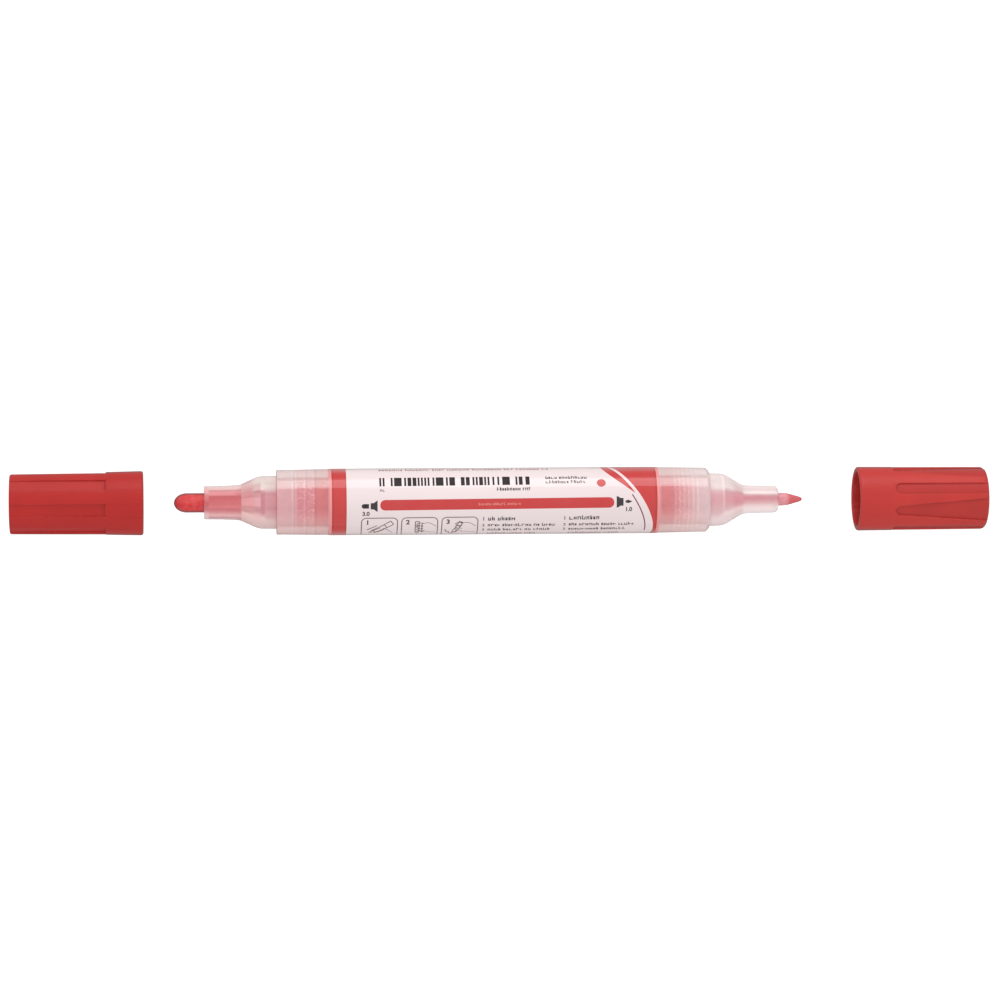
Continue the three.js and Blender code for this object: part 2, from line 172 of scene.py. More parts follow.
class Look:
    """A material with short calls for the nodes that feed its shader."""

    def __init__(self, name, **values):
        self.material = bpy.data.materials.new(name)
        self.material.use_nodes = True
        self.tree = self.material.node_tree
        self.shader = self.tree.nodes["Principled BSDF"]
        self.place = self.node("TexCoord").outputs["Object"]
        for key, value in values.items():
            self.set(key.replace("_", " ").title().replace("Ior", "IOR"), value)

    def feed(self, socket, value):
        """Gives a socket a plain value or links another node's output to it."""
        if isinstance(value, bpy.types.NodeSocket):
            self.tree.links.new(value, socket)
        else:
            socket.default_value = value

    def set(self, key, value):
        self.feed(self.shader.inputs[key], value)

    def node(self, kind, inputs=None, **settings):
        made = self.tree.nodes.new("ShaderNode" + kind)
        for key, value in settings.items():
            setattr(made, key, value)
        for key, value in (inputs or {}).items():
            self.feed(made.inputs[key], value)
        return made

    def noise(self, size, detail=3.0, roughness=0.5, stretch=(1, 1, 1)):
        """Noise whose grains are about `size` millimetres, longer along an axis with more stretch."""
        scale = [1 / axis for axis in stretch]
        place = self.node("Mapping", {"Vector": self.place, "Scale": scale}).outputs["Vector"]
        grain = {"Vector": place, "Scale": 1 / (size * MM), "Detail": detail, "Roughness": roughness}
        return self.node("TexNoise", grain).outputs["Fac"]

    def remap(self, source, low, high, to_low=0.0, to_high=1.0, smooth=False):
        ends = {"Value": source, "From Min": low, "From Max": high, "To Min": to_low, "To Max": to_high}
        kind = "SMOOTHSTEP" if smooth else "LINEAR"
        return self.node("MapRange", ends, interpolation_type=kind).outputs["Result"]

    def drift(self, size, low=0.0, high=1.0, **grain):
        """Noise that wanders between two values."""
        return self.remap(self.noise(size, **grain), 0.3, 0.7, low, high)

    def maths(self, operation, first, second=0.0):
        return self.node("Math", {0: first, 1: second}, operation=operation).outputs[0]

    def vectors(self, operation, first, second=(0, 0, 0), result="Vector"):
        return self.node("VectorMath", {0: first, 1: second}, operation=operation).outputs[result]

    def scaled(self, colour, factor):
        return self.node("VectorMath", {0: colour, "Scale": factor}, operation="SCALE").outputs["Vector"]

    def blend(self, share, first, second):
        """Colour between first (share 0) and second (share 1)."""
        return self.node("Mix", {0: share, 6: first, 7: second}, data_type="RGBA").outputs[2]

    def mix_shaders(self, share, first, second):
        return self.node("MixShader", {0: share, 1: first, 2: second}).outputs[0]

    def from_axis(self):
        """Distance in millimetres from the marker's axis."""
        across_axis = self.vectors("MULTIPLY", self.place, (0, 1 / MM, 1 / MM))
        return self.vectors("LENGTH", across_axis, result="Value")

    def outline(self, colour, grey, strength=0.6, start=0.6):
        """Colour with painted shade at the outline: it turns greyer where the surface bends out of
        sight.
        """
        facing = self.node("LayerWeight", {"Blend": 0.5}).outputs["Facing"]
        share = self.remap(facing, start, start + 0.28, 0.0, strength, smooth=True)
        return self.blend(share, colour, grey)

    def along(self):
        """Distance in millimetres from the middle of the barrel, positive towards the fine end."""
        x = self.node("SeparateXYZ", {0: self.place}).outputs["X"]
        return self.node("Math", {0: x, 1: 1 / MM, 2: -MIDDLE}, operation="MULTIPLY_ADD").outputs[0]

    def across(self):
        """Where a point is seen across the marker, from whichever side it is looked at: 0 on the
        middle line, 1 and -1 at the outlines. With the bullet end on the left, 1 is the far one."""
        point = self.node("NewGeometry").outputs
        radial = self.vectors("NORMALIZE", self.vectors("MULTIPLY", point["Normal"], (0, 1, 1)))
        side = self.vectors("NORMALIZE", self.vectors("CROSS_PRODUCT", point["Incoming"], (1, 0, 0)))
        return self.vectors("DOT_PRODUCT", radial, side, "Value")

    def stops(self, source, points):
        """A colour or number that follows a source through (at, value) stops."""
        low, high = points[0][0], points[-1][0]
        ramp = self.node("ValToRGB", {"Fac": self.remap(source, low, high)})
        elements = ramp.color_ramp.elements
        while len(elements) < len(points):
            elements.new(0.5)
        for k, (at, value) in enumerate(points):
            elements[k].position = (at - low) / (high - low)
            elements[k].color = value if isinstance(value, (list, tuple)) else (value, value, value, 1)
        return ramp.outputs["Color"]

    def rings(self, out, places, half):
        """1 in the middle of each of some rings round the axis, fading to 0 `half` away from it."""
        total = 0.0
        for at in places:
            away = self.maths("ABSOLUTE", self.maths("SUBTRACT", out, at))
            total = self.maths("ADD", total, self.remap(away, half, 0.0, smooth=True))
        return total

    def bump(self, height, distance, strength=1.0):
        dents = {"Height": height, "Distance": distance * MM, "Strength": strength}
        return self.node("Bump", dents).outputs["Normal"]

    def edges(self, radius, reach=0.12):
        """1 on sharp outer edges, fading to 0 within about `radius` millimetres."""
        bevel = self.node("Bevel", {"Radius": radius * MM}, samples=4).outputs[0]
        true = self.node("NewGeometry").outputs["True Normal"]
        same = self.vectors("DOT_PRODUCT", bevel, true, "Value")
        return self.remap(same, 1.0, 1.0 - reach, smooth=True)


# ---- Materials ----


# Painted shade: the grey that colours turn towards at the outlines.
PAINTED_OUTLINE_SHADE = srgb(128, 80, 80)


def cap_plastic(name, colour, wear_and_highlight_colour, groove_r):
    """Satin moulded polypropylene: fine spark grain, slight colour drift, paler edges of rubbed wear
    and painted highlight, painted shade in grooves whose floor is at `groove_r`, and painted grey
    shade at the outlines."""
    look = Look(name, specular_ior_level=0.3)
    cloud = look.blend(look.drift(9.0, detail=2.0), colour, [c * 0.9 for c in colour[:3]] + [1.0])
    # Paler edges: rubbed wear mixed with a painted highlight along the groove lips.
    wear_and_highlight_mask = look.maths("MULTIPLY", look.edges(0.22), look.remap(look.noise(1.1), 0.35, 0.65, 0.08, 0.4))
    # Painted shade: darker colour down in the grooves, below a radius just above their floor.
    cloud = look.scaled(cloud, look.remap(look.from_axis(), groove_r + 0.12, groove_r + 0.28, 0.88, 1.0))
    # Painted grey shade at the outlines.
    look.set("Base Color", look.outline(look.blend(wear_and_highlight_mask, cloud, wear_and_highlight_colour), PAINTED_OUTLINE_SHADE, 0.75))
    look.set("Roughness", look.drift(0.5, 0.36, 0.44))
    look.set("Normal", look.bump(look.noise(0.09, detail=2.0), 0.006, 0.55))
    return look.material


def clear_wall(name, look_through, haze, roughness, sheen):
    """Clear, slightly milky polypropylene. `look_through` gives the colour of the milk, which
    takes on what lies behind it, with painted light and shade over it, and `haze` is how much of
    the surface is milky."""
    look = Look(name, transmission_weight=1.0, ior=1.49, base_color=srgb(253, 244, 243))
    look.set("Roughness", look.drift(2.0, roughness, roughness * 1.8))
    flow = look.bump(look.noise(0.8, stretch=(6, 1, 1)), 0.003, 0.5)
    look.set("Normal", flow)
    colour = look_through(look)
    surface = {"Base Color": colour, "Roughness": 0.07, "Specular IOR Level": sheen, "Normal": flow}
    cloud = look.node("BsdfPrincipled", surface)
    through = look.node("BsdfTranslucent", {"Color": colour})
    milky = look.mix_shaders(0.15, cloud.outputs[0], through.outputs[0])
    share = look.drift(2.2, haze - 0.04, haze + 0.04)
    entering = look.maths("SUBTRACT", 1.0, look.node("NewGeometry").outputs["Backfacing"])
    share = look.maths("MULTIPLY", share, entering)
    wall = look.mix_shaders(share, look.shader.outputs[0], milky)
    lets_light_in = look.node("BsdfTransparent", {"Color": srgb(252, 238, 238)})
    casting = look.node("LightPath").outputs["Is Shadow Ray"]
    whole = look.mix_shaders(casting, wall, lets_light_in.outputs[0])
    look.feed(look.tree.nodes["Material Output"].inputs["Surface"], whole)
    return look.material


def through_barrel(look):
    """Paint, plug and rings behind the barrel wall, paler towards both outlines, with painted light
    and shade across the wall and a painted highlight and reflection towards the far outline.
    """
    along = look.along()
    out = look.maths("ABSOLUTE", along)
    fine_end = look.remap(along, -1.0, 1.0)
    core = look.blend(fine_end, look.stops(out, BULLET_END), look.stops(out, FINE_END))
    drops = look.remap(look.noise(0.5, detail=2.0), 0.52, 0.62, smooth=True)
    wet = look.stops(out, [(35.3, 0.0), (37.9, 0.1), (38.4, 0.5), (41.4, 0.45), (42.2, 0.0)])
    core = look.blend(look.maths("MULTIPLY", drops, wet), core, TINT["blush"])
    wave = look.drift(1.6, -0.02, 0.02, stretch=(3, 1, 1))
    across = look.maths("ADD", look.across(), wave)
    near = look.stops(across, [(-0.8, 0.7), (-0.74, 0.5), (-0.6, 0.36), (-0.43, 0.17), (-0.2, 0.0)])
    # Painted highlight and reflection: towards the far outline the colour turns pale where the strip
    # lamp reflects.
    far = look.stops(across, [(0.4, 0.0), (0.5, 0.33), (0.66, 0.4), (0.71, 0.46), (0.8, 0.6)])
    near_rim = look.blend(fine_end, TINT["near_rim"], TINT["near_rim_fine"])
    colour = look.blend(far, look.blend(near, core, near_rim), TINT["far_rim"])
    bullet_rings = look.rings(out, BULLET_PALE_RINGS, 0.32)
    pale = look.blend(fine_end, bullet_rings, look.rings(out, FINE_PALE_RINGS, 0.4))
    fading = look.stops(across, [(-0.9, 0.3), (-0.3, 0.75), (0.2, 1.0), (0.5, 0.8), (0.8, 0.35)])
    pale = look.maths("MULTIPLY", pale, fading)
    pale = look.maths("MULTIPLY", pale, look.remap(look.noise(1.3, detail=2.0), 0.35, 0.65, 0.1, 0.28))
    dark = look.rings(out, BULLET_DARK_RINGS, 0.3)
    dark = look.maths("MULTIPLY", dark, look.maths("SUBTRACT", 1.0, fine_end))
    change = look.maths("SUBTRACT", pale, look.maths("MULTIPLY", dark, 0.1))
    # Painted light and shade: the colour is scaled brighter or darker across the wall.
    light = look.maths("MULTIPLY", look.stops(across, BARREL_LIGHT), look.maths("ADD", 1.0, change))
    return look.scaled(colour, light)


def through_nose(look, zones, light):
    """What shows behind a nose: for each length of it, colours from one outline to the other, with
    painted highlights among them and painted light and shade across it.
    """
    out = look.maths("ABSOLUTE", look.along())
    streak = look.drift(0.25, -0.012, 0.012, stretch=(20, 1, 1))
    across = look.maths("ADD", look.across(), streak)
    colour = look.stops(across, zones[0][2])
    for start, soft, colours in zones[1:]:
        share = look.remap(out, start - soft, start + soft, smooth=True)
        colour = look.blend(share, colour, look.stops(across, colours))
    return look.scaled(colour, look.stops(across, light))


def wet_paint(name, thin, thick):
    """Paint clinging to a wall, streaked where it has run."""
    look = Look(name, coat_weight=0.6, coat_roughness=0.08)
    run = look.noise(0.9, detail=4.0, stretch=(5, 1, 1))
    look.set("Base Color", look.blend(look.remap(run, 0.35, 0.65), thin, thick))
    look.set("Roughness", look.remap(run, 0.3, 0.7, 0.3, 0.5))
    look.set("Normal", look.bump(run, 0.04, 0.6))
    return look.material


UNDER_GLOSS = {"roughness": 0.4, "specular_ior_level": 0.1}


def film_white():
    """Gloss film: white inside the printed area, clear over the tinted barrel at its margins."""
    look = Look("label_film_white", coat_weight=1.0, coat_roughness=0.02, **UNDER_GLOSS)
    white = look.blend(look.drift(14.0, detail=2.0), srgb(244, 228, 228), srgb(241, 224, 225))
    reach = look.maths("ABSOLUTE", look.along())
    margin = look.remap(reach, LABEL_HALF - FILM_EDGE - 0.03, LABEL_HALF - FILM_EDGE + 0.03)
    film = look.blend(margin, white, srgb(242, 150, 150))
    # Painted grey shade at the film's outlines.
    look.set("Base Color", look.outline(film, PAINTED_OUTLINE_SHADE, 0.3))
    look.set("Coat Normal", look.bump(look.noise(2.5, stretch=(5, 1, 1)), 0.002, 0.4))
    return look.material


def ink(name, colour, speckle, edge=1.0, gloss=1.0):
    """Print on the film, under the same gloss, uneven in places; `edge` darkens the print's ends."""
    look = Look(name, coat_weight=gloss, coat_roughness=0.025, **UNDER_GLOSS)
    thin = look.remap(look.noise(0.16, detail=2.0), 0.55, 0.8, 0.0, speckle)
    patch = look.drift(4.0, 0.0, 0.03)
    pale = [c * 0.6 + 0.4 for c in colour[:3]] + [1.0]
    end = LABEL_HALF - FILM_EDGE
    band = BAND - end
    rims = [(-end, edge), (-end + 0.55, 1.0), (band - 0.3, 1.0), (band, edge)]
    rims += [(band + 0.1, 1.0), (end - 0.6, 1.0), (end, edge)]
    body = look.blend(look.maths("ADD", thin, patch), colour, pale)
    shaded = look.scaled(body, look.stops(look.along(), rims))
    # Painted grey shade at the print's outlines.
    look.set("Base Color", look.outline(shaded, srgb(196, 128, 128), 0.55, 0.42))
    return look.material


def felt():
    """Pressed fibre nib soaked with paint: fibres along its length, darker in blots."""
    look = Look("pressed_fibre_red")
    fibre = look.noise(0.12, detail=4.0, roughness=0.65, stretch=(9, 1, 1))
    blot = look.noise(1.1, detail=3.0)
    dry = look.blend(look.remap(fibre, 0.3, 0.7), srgb(212, 52, 56), srgb(234, 92, 92))
    soaked = look.blend(look.remap(blot, 0.4, 0.7), dry, srgb(218, 54, 58))
    # Painted grey shade at the nib's outlines.
    look.set("Base Color", look.outline(soaked, PAINTED_OUTLINE_SHADE, 0.85, 0.32))
    look.set("Roughness", look.remap(blot, 0.3, 0.7, 0.5, 0.75))
    look.set("Normal", look.bump(fibre, 0.03, 0.7))
    return look.material


def fine_nib_plastic():
    """Fluted plastic nib: pale pink where the light gets through, dark red at the tip."""
    tip_at = out_of("fine_nib", FINE, True)
    look = Look("fine_nib_plastic", roughness=0.35)
    share = look.remap(look.along(), tip_at - 3.9, tip_at - 2.3, smooth=True)
    streak = look.noise(0.2, stretch=(8, 1, 1))
    base = look.blend(look.remap(streak, 0.3, 0.7), srgb(226, 140, 150), srgb(234, 164, 170))
    tip = look.blend(look.remap(streak, 0.3, 0.7), srgb(206, 78, 82), srgb(224, 108, 110))
    # Painted grey shade at the nib's outlines.
    look.set("Base Color", look.outline(look.blend(share, base, tip), PAINTED_OUTLINE_SHADE, 0.8))
    look.set("Normal", look.bump(streak, 0.02, 0.6))
    return look.material


def plain_plastic(name, colour, stain, roughness, stain_from=0.5):
    """Small inner moulding, unevenly stained by the paint."""
    look = Look(name)
    amount = look.remap(look.noise(1.2, detail=4.0), stain_from - 0.12, stain_from + 0.14, smooth=True)
    look.set("Base Color", look.blend(amount, colour, stain))
    look.set("Roughness", look.drift(0.6, roughness - 0.05, roughness + 0.08))
    look.set("Normal", look.bump(look.noise(0.12), 0.005, 0.5))
    return look.material


def soft_rubber():
    """Clear silicone, pale and a little cloudy."""
    look = Look("clear_silicone", transmission_weight=0.55, ior=1.41, base_color=srgb(245, 232, 230))
    look.set("Roughness", look.drift(0.5, 0.18, 0.3))
    look.set("Normal", look.bump(look.noise(0.2), 0.006, 0.5))
    return look.material


def bright_steel(name, roughness, grain):
    look = Look(name, metallic=1.0)
    look.set("Base Color", look.blend(look.drift(0.9), srgb(214, 216, 220), srgb(190, 192, 196)))
    look.set("Roughness", look.drift(0.3, roughness, roughness * 1.6))
    look.set("Normal", look.bump(look.noise(grain, stretch=(4, 1, 1)), 0.002, 0.5))
    return look.material


SURFACE_SHEEN = 0.022


def milk(red, green, blue):
    """Colour of the milk that looks like a display colour, with the sheen of the surface over it."""
    return [c - SURFACE_SHEEN for c in srgb(red, green, blue)[:3]] + [1.0]


CAP_RED = {
    BULLET: cap_plastic("cap_red_satin_bullet", (0.52, 0.019, 0.016, 1.0), srgb(204, 84, 80), 5.0),
    FINE: cap_plastic("cap_red_satin_fine", (0.59, 0.038, 0.032, 1.0), srgb(222, 108, 100), 6.3),
}
LINER_RED = plain_plastic("liner_soft_red", srgb(178, 66, 64), srgb(158, 40, 42), 0.5)
FILM_WHITE = film_white()
INK_RED = ink("print_red", (0.605, 0.030, 0.030, 1.0), 0.06, 0.74)
INK_DARK = ink("print_dark_grey", srgb(40, 30, 33), 0.1)
INK_BARS = ink("print_bars", srgb(38, 28, 30), 0.08, 1.0, 0.1)
INK_GREY = ink("print_mid_grey", srgb(100, 84, 88), 0.15)
INK_PALE = ink("print_pale_pink", srgb(232, 138, 126), 0.1)
INK_WINE = ink("print_wine", srgb(116, 44, 62), 0.1)
FELT = felt()
FINE_NIB = fine_nib_plastic()
SILICONE = soft_rubber()
PAINT = wet_paint("wet_paint", srgb(226, 96, 100), srgb(206, 48, 54))
ACETAL = plain_plastic("white_acetal_stained", srgb(244, 206, 206), srgb(226, 112, 120), 0.36, 0.46)
SPRING_STEEL = bright_steel("drawn_steel_wire", 0.16, 0.1)
BALL_STEEL = bright_steel("polished_steel", 0.05, 0.4)

# What the milky walls show of the parts behind them; "glint" is a painted highlight, and "far_rim" is
# pale milk with painted reflection.
TINT = {
    "far_rim": milk(231, 222, 218), "near_rim": milk(223, 187, 183),
    "near_rim_fine": milk(229, 199, 196), "blush": milk(237, 178, 181), "clear": milk(233, 217, 212),
    "clear_shade": milk(219, 193, 191), "deep": milk(207, 111, 116), "rose": milk(214, 123, 126),
    "line": milk(208, 142, 145), "pink": milk(239, 150, 154), "mauve": milk(215, 160, 165),
    "dusk": milk(204, 143, 150), "glass": milk(240, 224, 223), "glint": milk(253, 234, 232),
    "lilac": milk(220, 170, 175),
}


def shades(*stops):
    """Stops whose colours are names from TINT, or the display colours that the milk looks like."""
    return [(at, TINT[look[0]] if len(look) == 1 else milk(*look)) for at, *look in stops]


# Base colours behind the barrel wall, by distance out.
BULLET_END = shades(
    (35.1, 231, 156, 156), (35.3, 209, 126, 129), (36.6, 216, 122, 126), (38.1, 210, 126, 130),
    (38.6, 214, 139, 145), (41.7, 213, 139, 146), (42.3, 216, 167, 171), (46.0, 221, 168, 173),
)
FINE_END = shades(
    (35.1, 231, 154, 154), (35.5, 208, 132, 134), (36.4, 219, 127, 129), (38.1, 211, 134, 138),
    (39.0, 211, 145, 149), (41.0, 215, 164, 166), (43.0, 218, 186, 188), (46.0, 225, 200, 202),
)
BULLET_GROOVES = [(38.95, 39.85, GROOVE_R), (41.95, 42.95, 4.52)]
FINE_GROOVES = [(39.305 + 0.955 * k, 39.81 + 0.955 * k, GROOVE_R) for k in range(5)]
BULLET_PALE_RINGS = [PLUG_END, 40.2, 42.0, 42.75]
BULLET_DARK_RINGS = [37.8, 39.75, 42.3]
FINE_PALE_RINGS = [start - 1.0 for start, _, _ in FINE_GROOVES] + [FINE_GROOVES[-1][0]]

# Painted light and shade: how much brighter or darker the milk is painted from one outline to the other.
BARREL_LIGHT = [
    (-1.0, 1.02), (-0.8, 1.1), (-0.5, 1.4), (-0.2, 1.25), (0.1, 1.24), (0.42, 1.19), (0.5, 1.16),
    (0.68, 1.1), (0.72, 1.02), (0.8, 1.05), (1.0, 1.06),
]
BULLET_NOSE_LIGHT = [
    (-1.0, 1.12), (-0.8, 1.17), (-0.5, 1.3), (-0.2, 1.22), (0.2, 1.17), (0.45, 1.0), (0.7, 1.02),
    (1.0, 1.12),
]
FINE_NOSE_LIGHT = [
    (-1.0, 1.22), (-0.5, 1.26), (-0.2, 1.22), (0.2, 1.17), (0.45, 1.04), (0.7, 1.03), (1.0, 1.14),
]


def zone(start, soft, *stops):
    """Colours across a nose from `start` out, which fade in over `soft` to either side of it."""
    return start, soft, shades(*stops)


# The palest stops on the far side of these zones are painted highlights where the strip lamp reflects.
BULLET_NOSE = [
    zone(
        46.0, 0.1,
        (-1.0, "clear_shade"), (-0.66, 226, 194, 193), (-0.56, 212, 171, 173), (-0.34, "mauve"),
        (-0.26, 207, 152, 157), (0.0, 213, 155, 161), (0.33, 213, 156, 162), (0.44, 228, 190, 192),
        (0.6, "clear"), (1.0, "clear"),
    ),
    zone(
        48.5, 0.15,
        (-1.0, "clear_shade"), (-0.6, 228, 191, 191), (-0.42, "dusk"), (0.0, 203, 138, 147),
        (0.3, "dusk"), (0.42, 216, 166, 170), (0.52, 246, 214, 213), (0.6, "clear"), (1.0, "clear"),
    ),
    zone(
        49.4, 0.2,
        (-1.0, "clear_shade"), (-0.62, 231, 190, 189), (-0.44, 216, 170, 171), (-0.34, 202, 148, 150),
        (-0.2, 211, 154, 157), (-0.12, 231, 174, 178), (0.14, 230, 172, 176), (0.24, 214, 156, 159),
        (0.32, 222, 160, 164), (0.42, 206, 146, 150), (0.52, 232, 190, 189), (0.66, 222, 190, 186),
        (0.8, "clear"), (1.0, "clear"),
    ),
    zone(
        51.0, 0.7,
        (-1.0, 216, 186, 182), (-0.78, 230, 194, 190), (-0.55, 231, 187, 185), (-0.42, 198, 141, 142),
        (-0.2, 214, 150, 151), (-0.1, 230, 166, 169), (0.16, 228, 162, 165), (0.26, 211, 143, 144),
        (0.4, 222, 150, 152), (0.56, 220, 160, 160), (0.7, 226, 180, 179), (0.84, 235, 198, 197),
        (1.0, 210, 184, 184),
    ),
    zone(
        53.45, 0.1,
        (-1.0, 215, 188, 187), (-0.87, 202, 152, 155), (-0.75, "blush"), (-0.62, 217, 155, 154),
        (-0.5, 208, 131, 136), (-0.39, 204, 119, 125), (-0.27, 220, 132, 134), (-0.12, "rose"),
        (0.2, "deep"), (0.36, "deep"), (0.45, 232, 140, 144), (0.6, "pink"), (0.7, "line"),
        (0.81, 245, 204, 201), (1.0, 229, 212, 207),
    ),
    zone(
        60.3, 0.12,
        (-1.0, 222, 208, 206), (-0.7, 230, 186, 187), (-0.45, 204, 126, 133), (0.0, 203, 110, 113),
        (0.45, 222, 142, 144), (0.7, 244, 178, 177), (1.0, 228, 214, 212),
    ),
]
# Here too the palest far-side stops and "glint" are painted highlights of the strip lamp.
FINE_NOSE = [
    zone(
        46.0, 0.1,
        (-1.0, 225, 210, 210), (-0.68, 234, 210, 211), (-0.5, 221, 187, 189), (-0.3, 222, 180, 182),
        (-0.1, "lilac"), (0.2, 221, 173, 178), (0.36, 232, 199, 201), (0.44, "glass"), (1.0, "glass"),
    ),
    zone(
        48.55, 0.12,
        (-1.0, 229, 214, 214), (-0.6, 232, 206, 206), (-0.4, 229, 190, 193), (0.0, 229, 180, 186),
        (0.3, 234, 194, 196), (0.42, "glint"), (0.8, "glint"), (1.0, "glass"),
    ),
    zone(
        49.1, 0.12,
        (-1.0, 230, 216, 215), (-0.52, 234, 210, 209), (-0.4, 223, 187, 190), (-0.22, 219, 168, 174),
        (-0.1, 218, 161, 167), (0.22, 219, 161, 168), (0.31, 216, 168, 173), (0.4, 228, 193, 195),
        (0.49, "glass"), (0.8, 234, 219, 217), (1.0, "glass"),
    ),
    zone(
        51.2, 0.8,
        (-1.0, 229, 216, 215), (-0.56, 236, 208, 208), (-0.36, 224, 178, 182), (-0.18, 216, 157, 163),
        (0.0, 222, 151, 162), (0.24, 220, 155, 164), (0.38, 214, 162, 167), (0.5, 226, 190, 192),
        (0.6, 239, 208, 209), (0.8, 234, 219, 218), (1.0, "glass"),
    ),
    zone(
        53.3, 0.35,
        (-1.0, 232, 221, 222), (-0.66, 239, 220, 220), (-0.5, 233, 208, 207), (-0.37, 229, 197, 198),
        (-0.23, 226, 178, 183), (-0.09, 216, 162, 167), (0.06, 208, 148, 155), (0.2, 211, 149, 158),
        (0.34, 216, 179, 181), (0.47, "glint"), (0.63, 237, 216, 215), (1.0, "glass"),
    ),
]
BARREL_WALL = clear_wall("milky_polypropylene", through_barrel, 0.82, 0.05, 0.9)


def nose_wall(name, zones, light):
    return clear_wall(name, lambda look: through_nose(look, zones, light), 0.94, 0.05, 0.35)


BULLET_WALL = nose_wall("clear_polypropylene_bullet", BULLET_NOSE, BULLET_NOSE_LIGHT)
FINE_WALL = nose_wall("clear_polypropylene_fine", FINE_NOSE, FINE_NOSE_LIGHT)


# ---- Mesh helpers ----


def turns(count):
    """Angles of equal steps once round."""
    return [2 * math.pi * k / count for k in range(count)]


def place(side, out, r, angle):
    """A point at `out`, radius r and `angle` radians from the top, positive towards +Y."""
    return Vector((MIDDLE + side * out, r * math.sin(angle), r * math.cos(angle))) * MM


def mesh_of(name, shape):
    mesh = bpy.data.meshes.new(name)
    shape.to_mesh(mesh)
    shape.free()
    return mesh


def in_scene(name, data):
    made = bpy.data.objects.new(name, data)
    bpy.context.scene.collection.objects.link(made)
    return made


def finished(name, shape, material, body, slot=None, stands_for=None, crease=32):
    """A bmesh as a named piece that rides on a body."""
    bmesh.ops.recalc_face_normals(shape, faces=shape.faces)
    mesh = mesh_of(name, shape)
    mesh.polygons.foreach_set("use_smooth", [True] * len(mesh.polygons))
    mesh.set_sharp_from_angle(angle=math.radians(crease))
    mesh.materials.append(material)
    made = in_scene(name, mesh)
    made.modifiers.new("even_shading", "WEIGHTED_NORMAL").keep_sharp = True
    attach(made, body)
    if stands_for:
        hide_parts(stands_for)
    return made


def rounded(profile, closed):
    """Turns the (out, r, fillet) corners of a profile into short curves."""
    points = []
    last = len(profile) - 1
    for i, corner in enumerate(profile):
        at = Vector(corner[:2])
        fillet = corner[2] if len(corner) > 2 else 0
        if not fillet or (not closed and i in (0, last)):
            points.append(at)
            continue
        before = Vector(profile[i - 1][:2]) - at
        after = Vector(profile[(i + 1) % len(profile)][:2]) - at
        reach = min(fillet, before.length * 0.45, after.length * 0.45)
        start = at + before.normalized() * reach
        end = at + after.normalized() * reach
        for k in range(FILLET_STEPS + 1):
            share = k / FILLET_STEPS
            points.append(start.lerp(at, share).lerp(at.lerp(end, share), share))
    return points


def grid_faces(shape, rings, closed):
    """Quads between rings of vertices; a ring of one vertex is a pole."""
    pairs = list(zip(rings, rings[1:]))
    if closed:
        pairs.append((rings[-1], rings[0]))
    for first, second in pairs:
        count = max(len(first), len(second))
        if count == 1:
            continue
        for i in range(count):
            j = (i + 1) % count
            near = first[:1] if len(first) == 1 else [first[i], first[j]]
            far = second[:1] if len(second) == 1 else [second[j], second[i]]
            shape.faces.new(near + far)


def lathe(profile, side, sides=SIDES, warp=None):
    """A solid of revolution as a bmesh. The profile closes on itself unless it starts on the axis."""
    closed = profile[0][1] > 0
    shape = bmesh.new()
    rings = []
    for out, r in rounded(profile, closed):
        if r <= 1e-6:
            rings.append([shape.verts.new(place(side, out, 0, 0))])
            continue
        ring = []
        for angle in turns(sides):
            extra = warp(out, r, angle) if warp else 0
            ring.append(shape.verts.new(place(side, out, r + extra, angle)))
        rings.append(ring)
    grid_faces(shape, rings, closed)
    return shape


def turned(name, profile, side, material, body, sides=SIDES, warp=None, **rest):
    return finished(name, lathe(profile, side, sides, warp), material, body, **rest)


def barrel_r(out):
    """Radius of the crowned barrel at a distance from its middle."""
    reach = abs(out)
    for (a, drop_a), (b, drop_b) in zip(CROWN, CROWN[1:]):
        if reach <= b:
            share = (reach - a) / (b - a)
            return BARREL_R + drop_a + (drop_b - drop_a) * share
    return BARREL_R + CROWN[-1][1]


# ---- Barrel ----

BORE_SECTION = 43.2  # a ring of vertices round the bore near each end


def build_barrel():
    lip = BARREL_HALF
    stations = [-lip, -TAPER, -STRAIGHT, STRAIGHT, TAPER, lip - FINE_END_CHAMFER]
    profile = [(-lip, BORE_R, 0.1)]
    profile += [(out, barrel_r(out), 0.12 if abs(out) > TAPER + 3 else 0) for out in stations]
    profile += [(lip, barrel_r(lip) - FINE_END_CHAMFER, 0.1), (lip, BORE_R, 0.1)]
    profile += [(out, BORE_R) for out in (BORE_SECTION, 0.0, -BORE_SECTION)]
    whole = {"slot": "barrel", "stands_for": "barrel", "sides": 192}
    turned("barrel_tube", profile, 1, BARREL_WALL, "marker", **whole)


def build_paint():
    """The film of paint that coats the inside of the barrel between the two cages."""
    end = CAGE_BACK - 0.1
    r = BORE_R - 0.1
    profile = [(-end, r, 0.03), (end, r, 0.03), (end, r - 0.15), (-end, r - 0.15)]
    turned("paint_film", profile, 1, PAINT, "marker")


# ---- Noses ----


def build_nose(side, material, grooves, root, outside, inside):
    """A hollow nose: the plug with its grooves, the outside to the tip, and back through the bore."""
    node = SIDE_NAME[side] + "_nose"
    profile = [(PLUG_END, PLUG_BORE_R, 0.1), (PLUG_END, PLUG_R, 0.15)]
    for start, end, r in grooves:
        profile += [(start, PLUG_R, 0.07), (start, r, 0.06), (end, r, 0.06), (end, PLUG_R, 0.07)]
    profile += [(SHOULDER, PLUG_R, 0.05), (SHOULDER, root, 0.12), *outside, *inside]
    profile += [(SEAT_FRONT[side], SOCKET_R, 0.05), (SOCKET_END, SOCKET_R, 0.08)]
    profile += [(SOCKET_END, SOCKET_WALL_R, 0.1), (HOLLOW_END, SOCKET_WALL_R, 0.15)]
    profile += [(HOLLOW_END, PLUG_BORE_R, 0.2)]
    turned(node + "_shell", profile, side, material, "marker", slot="nose", stands_for=node)


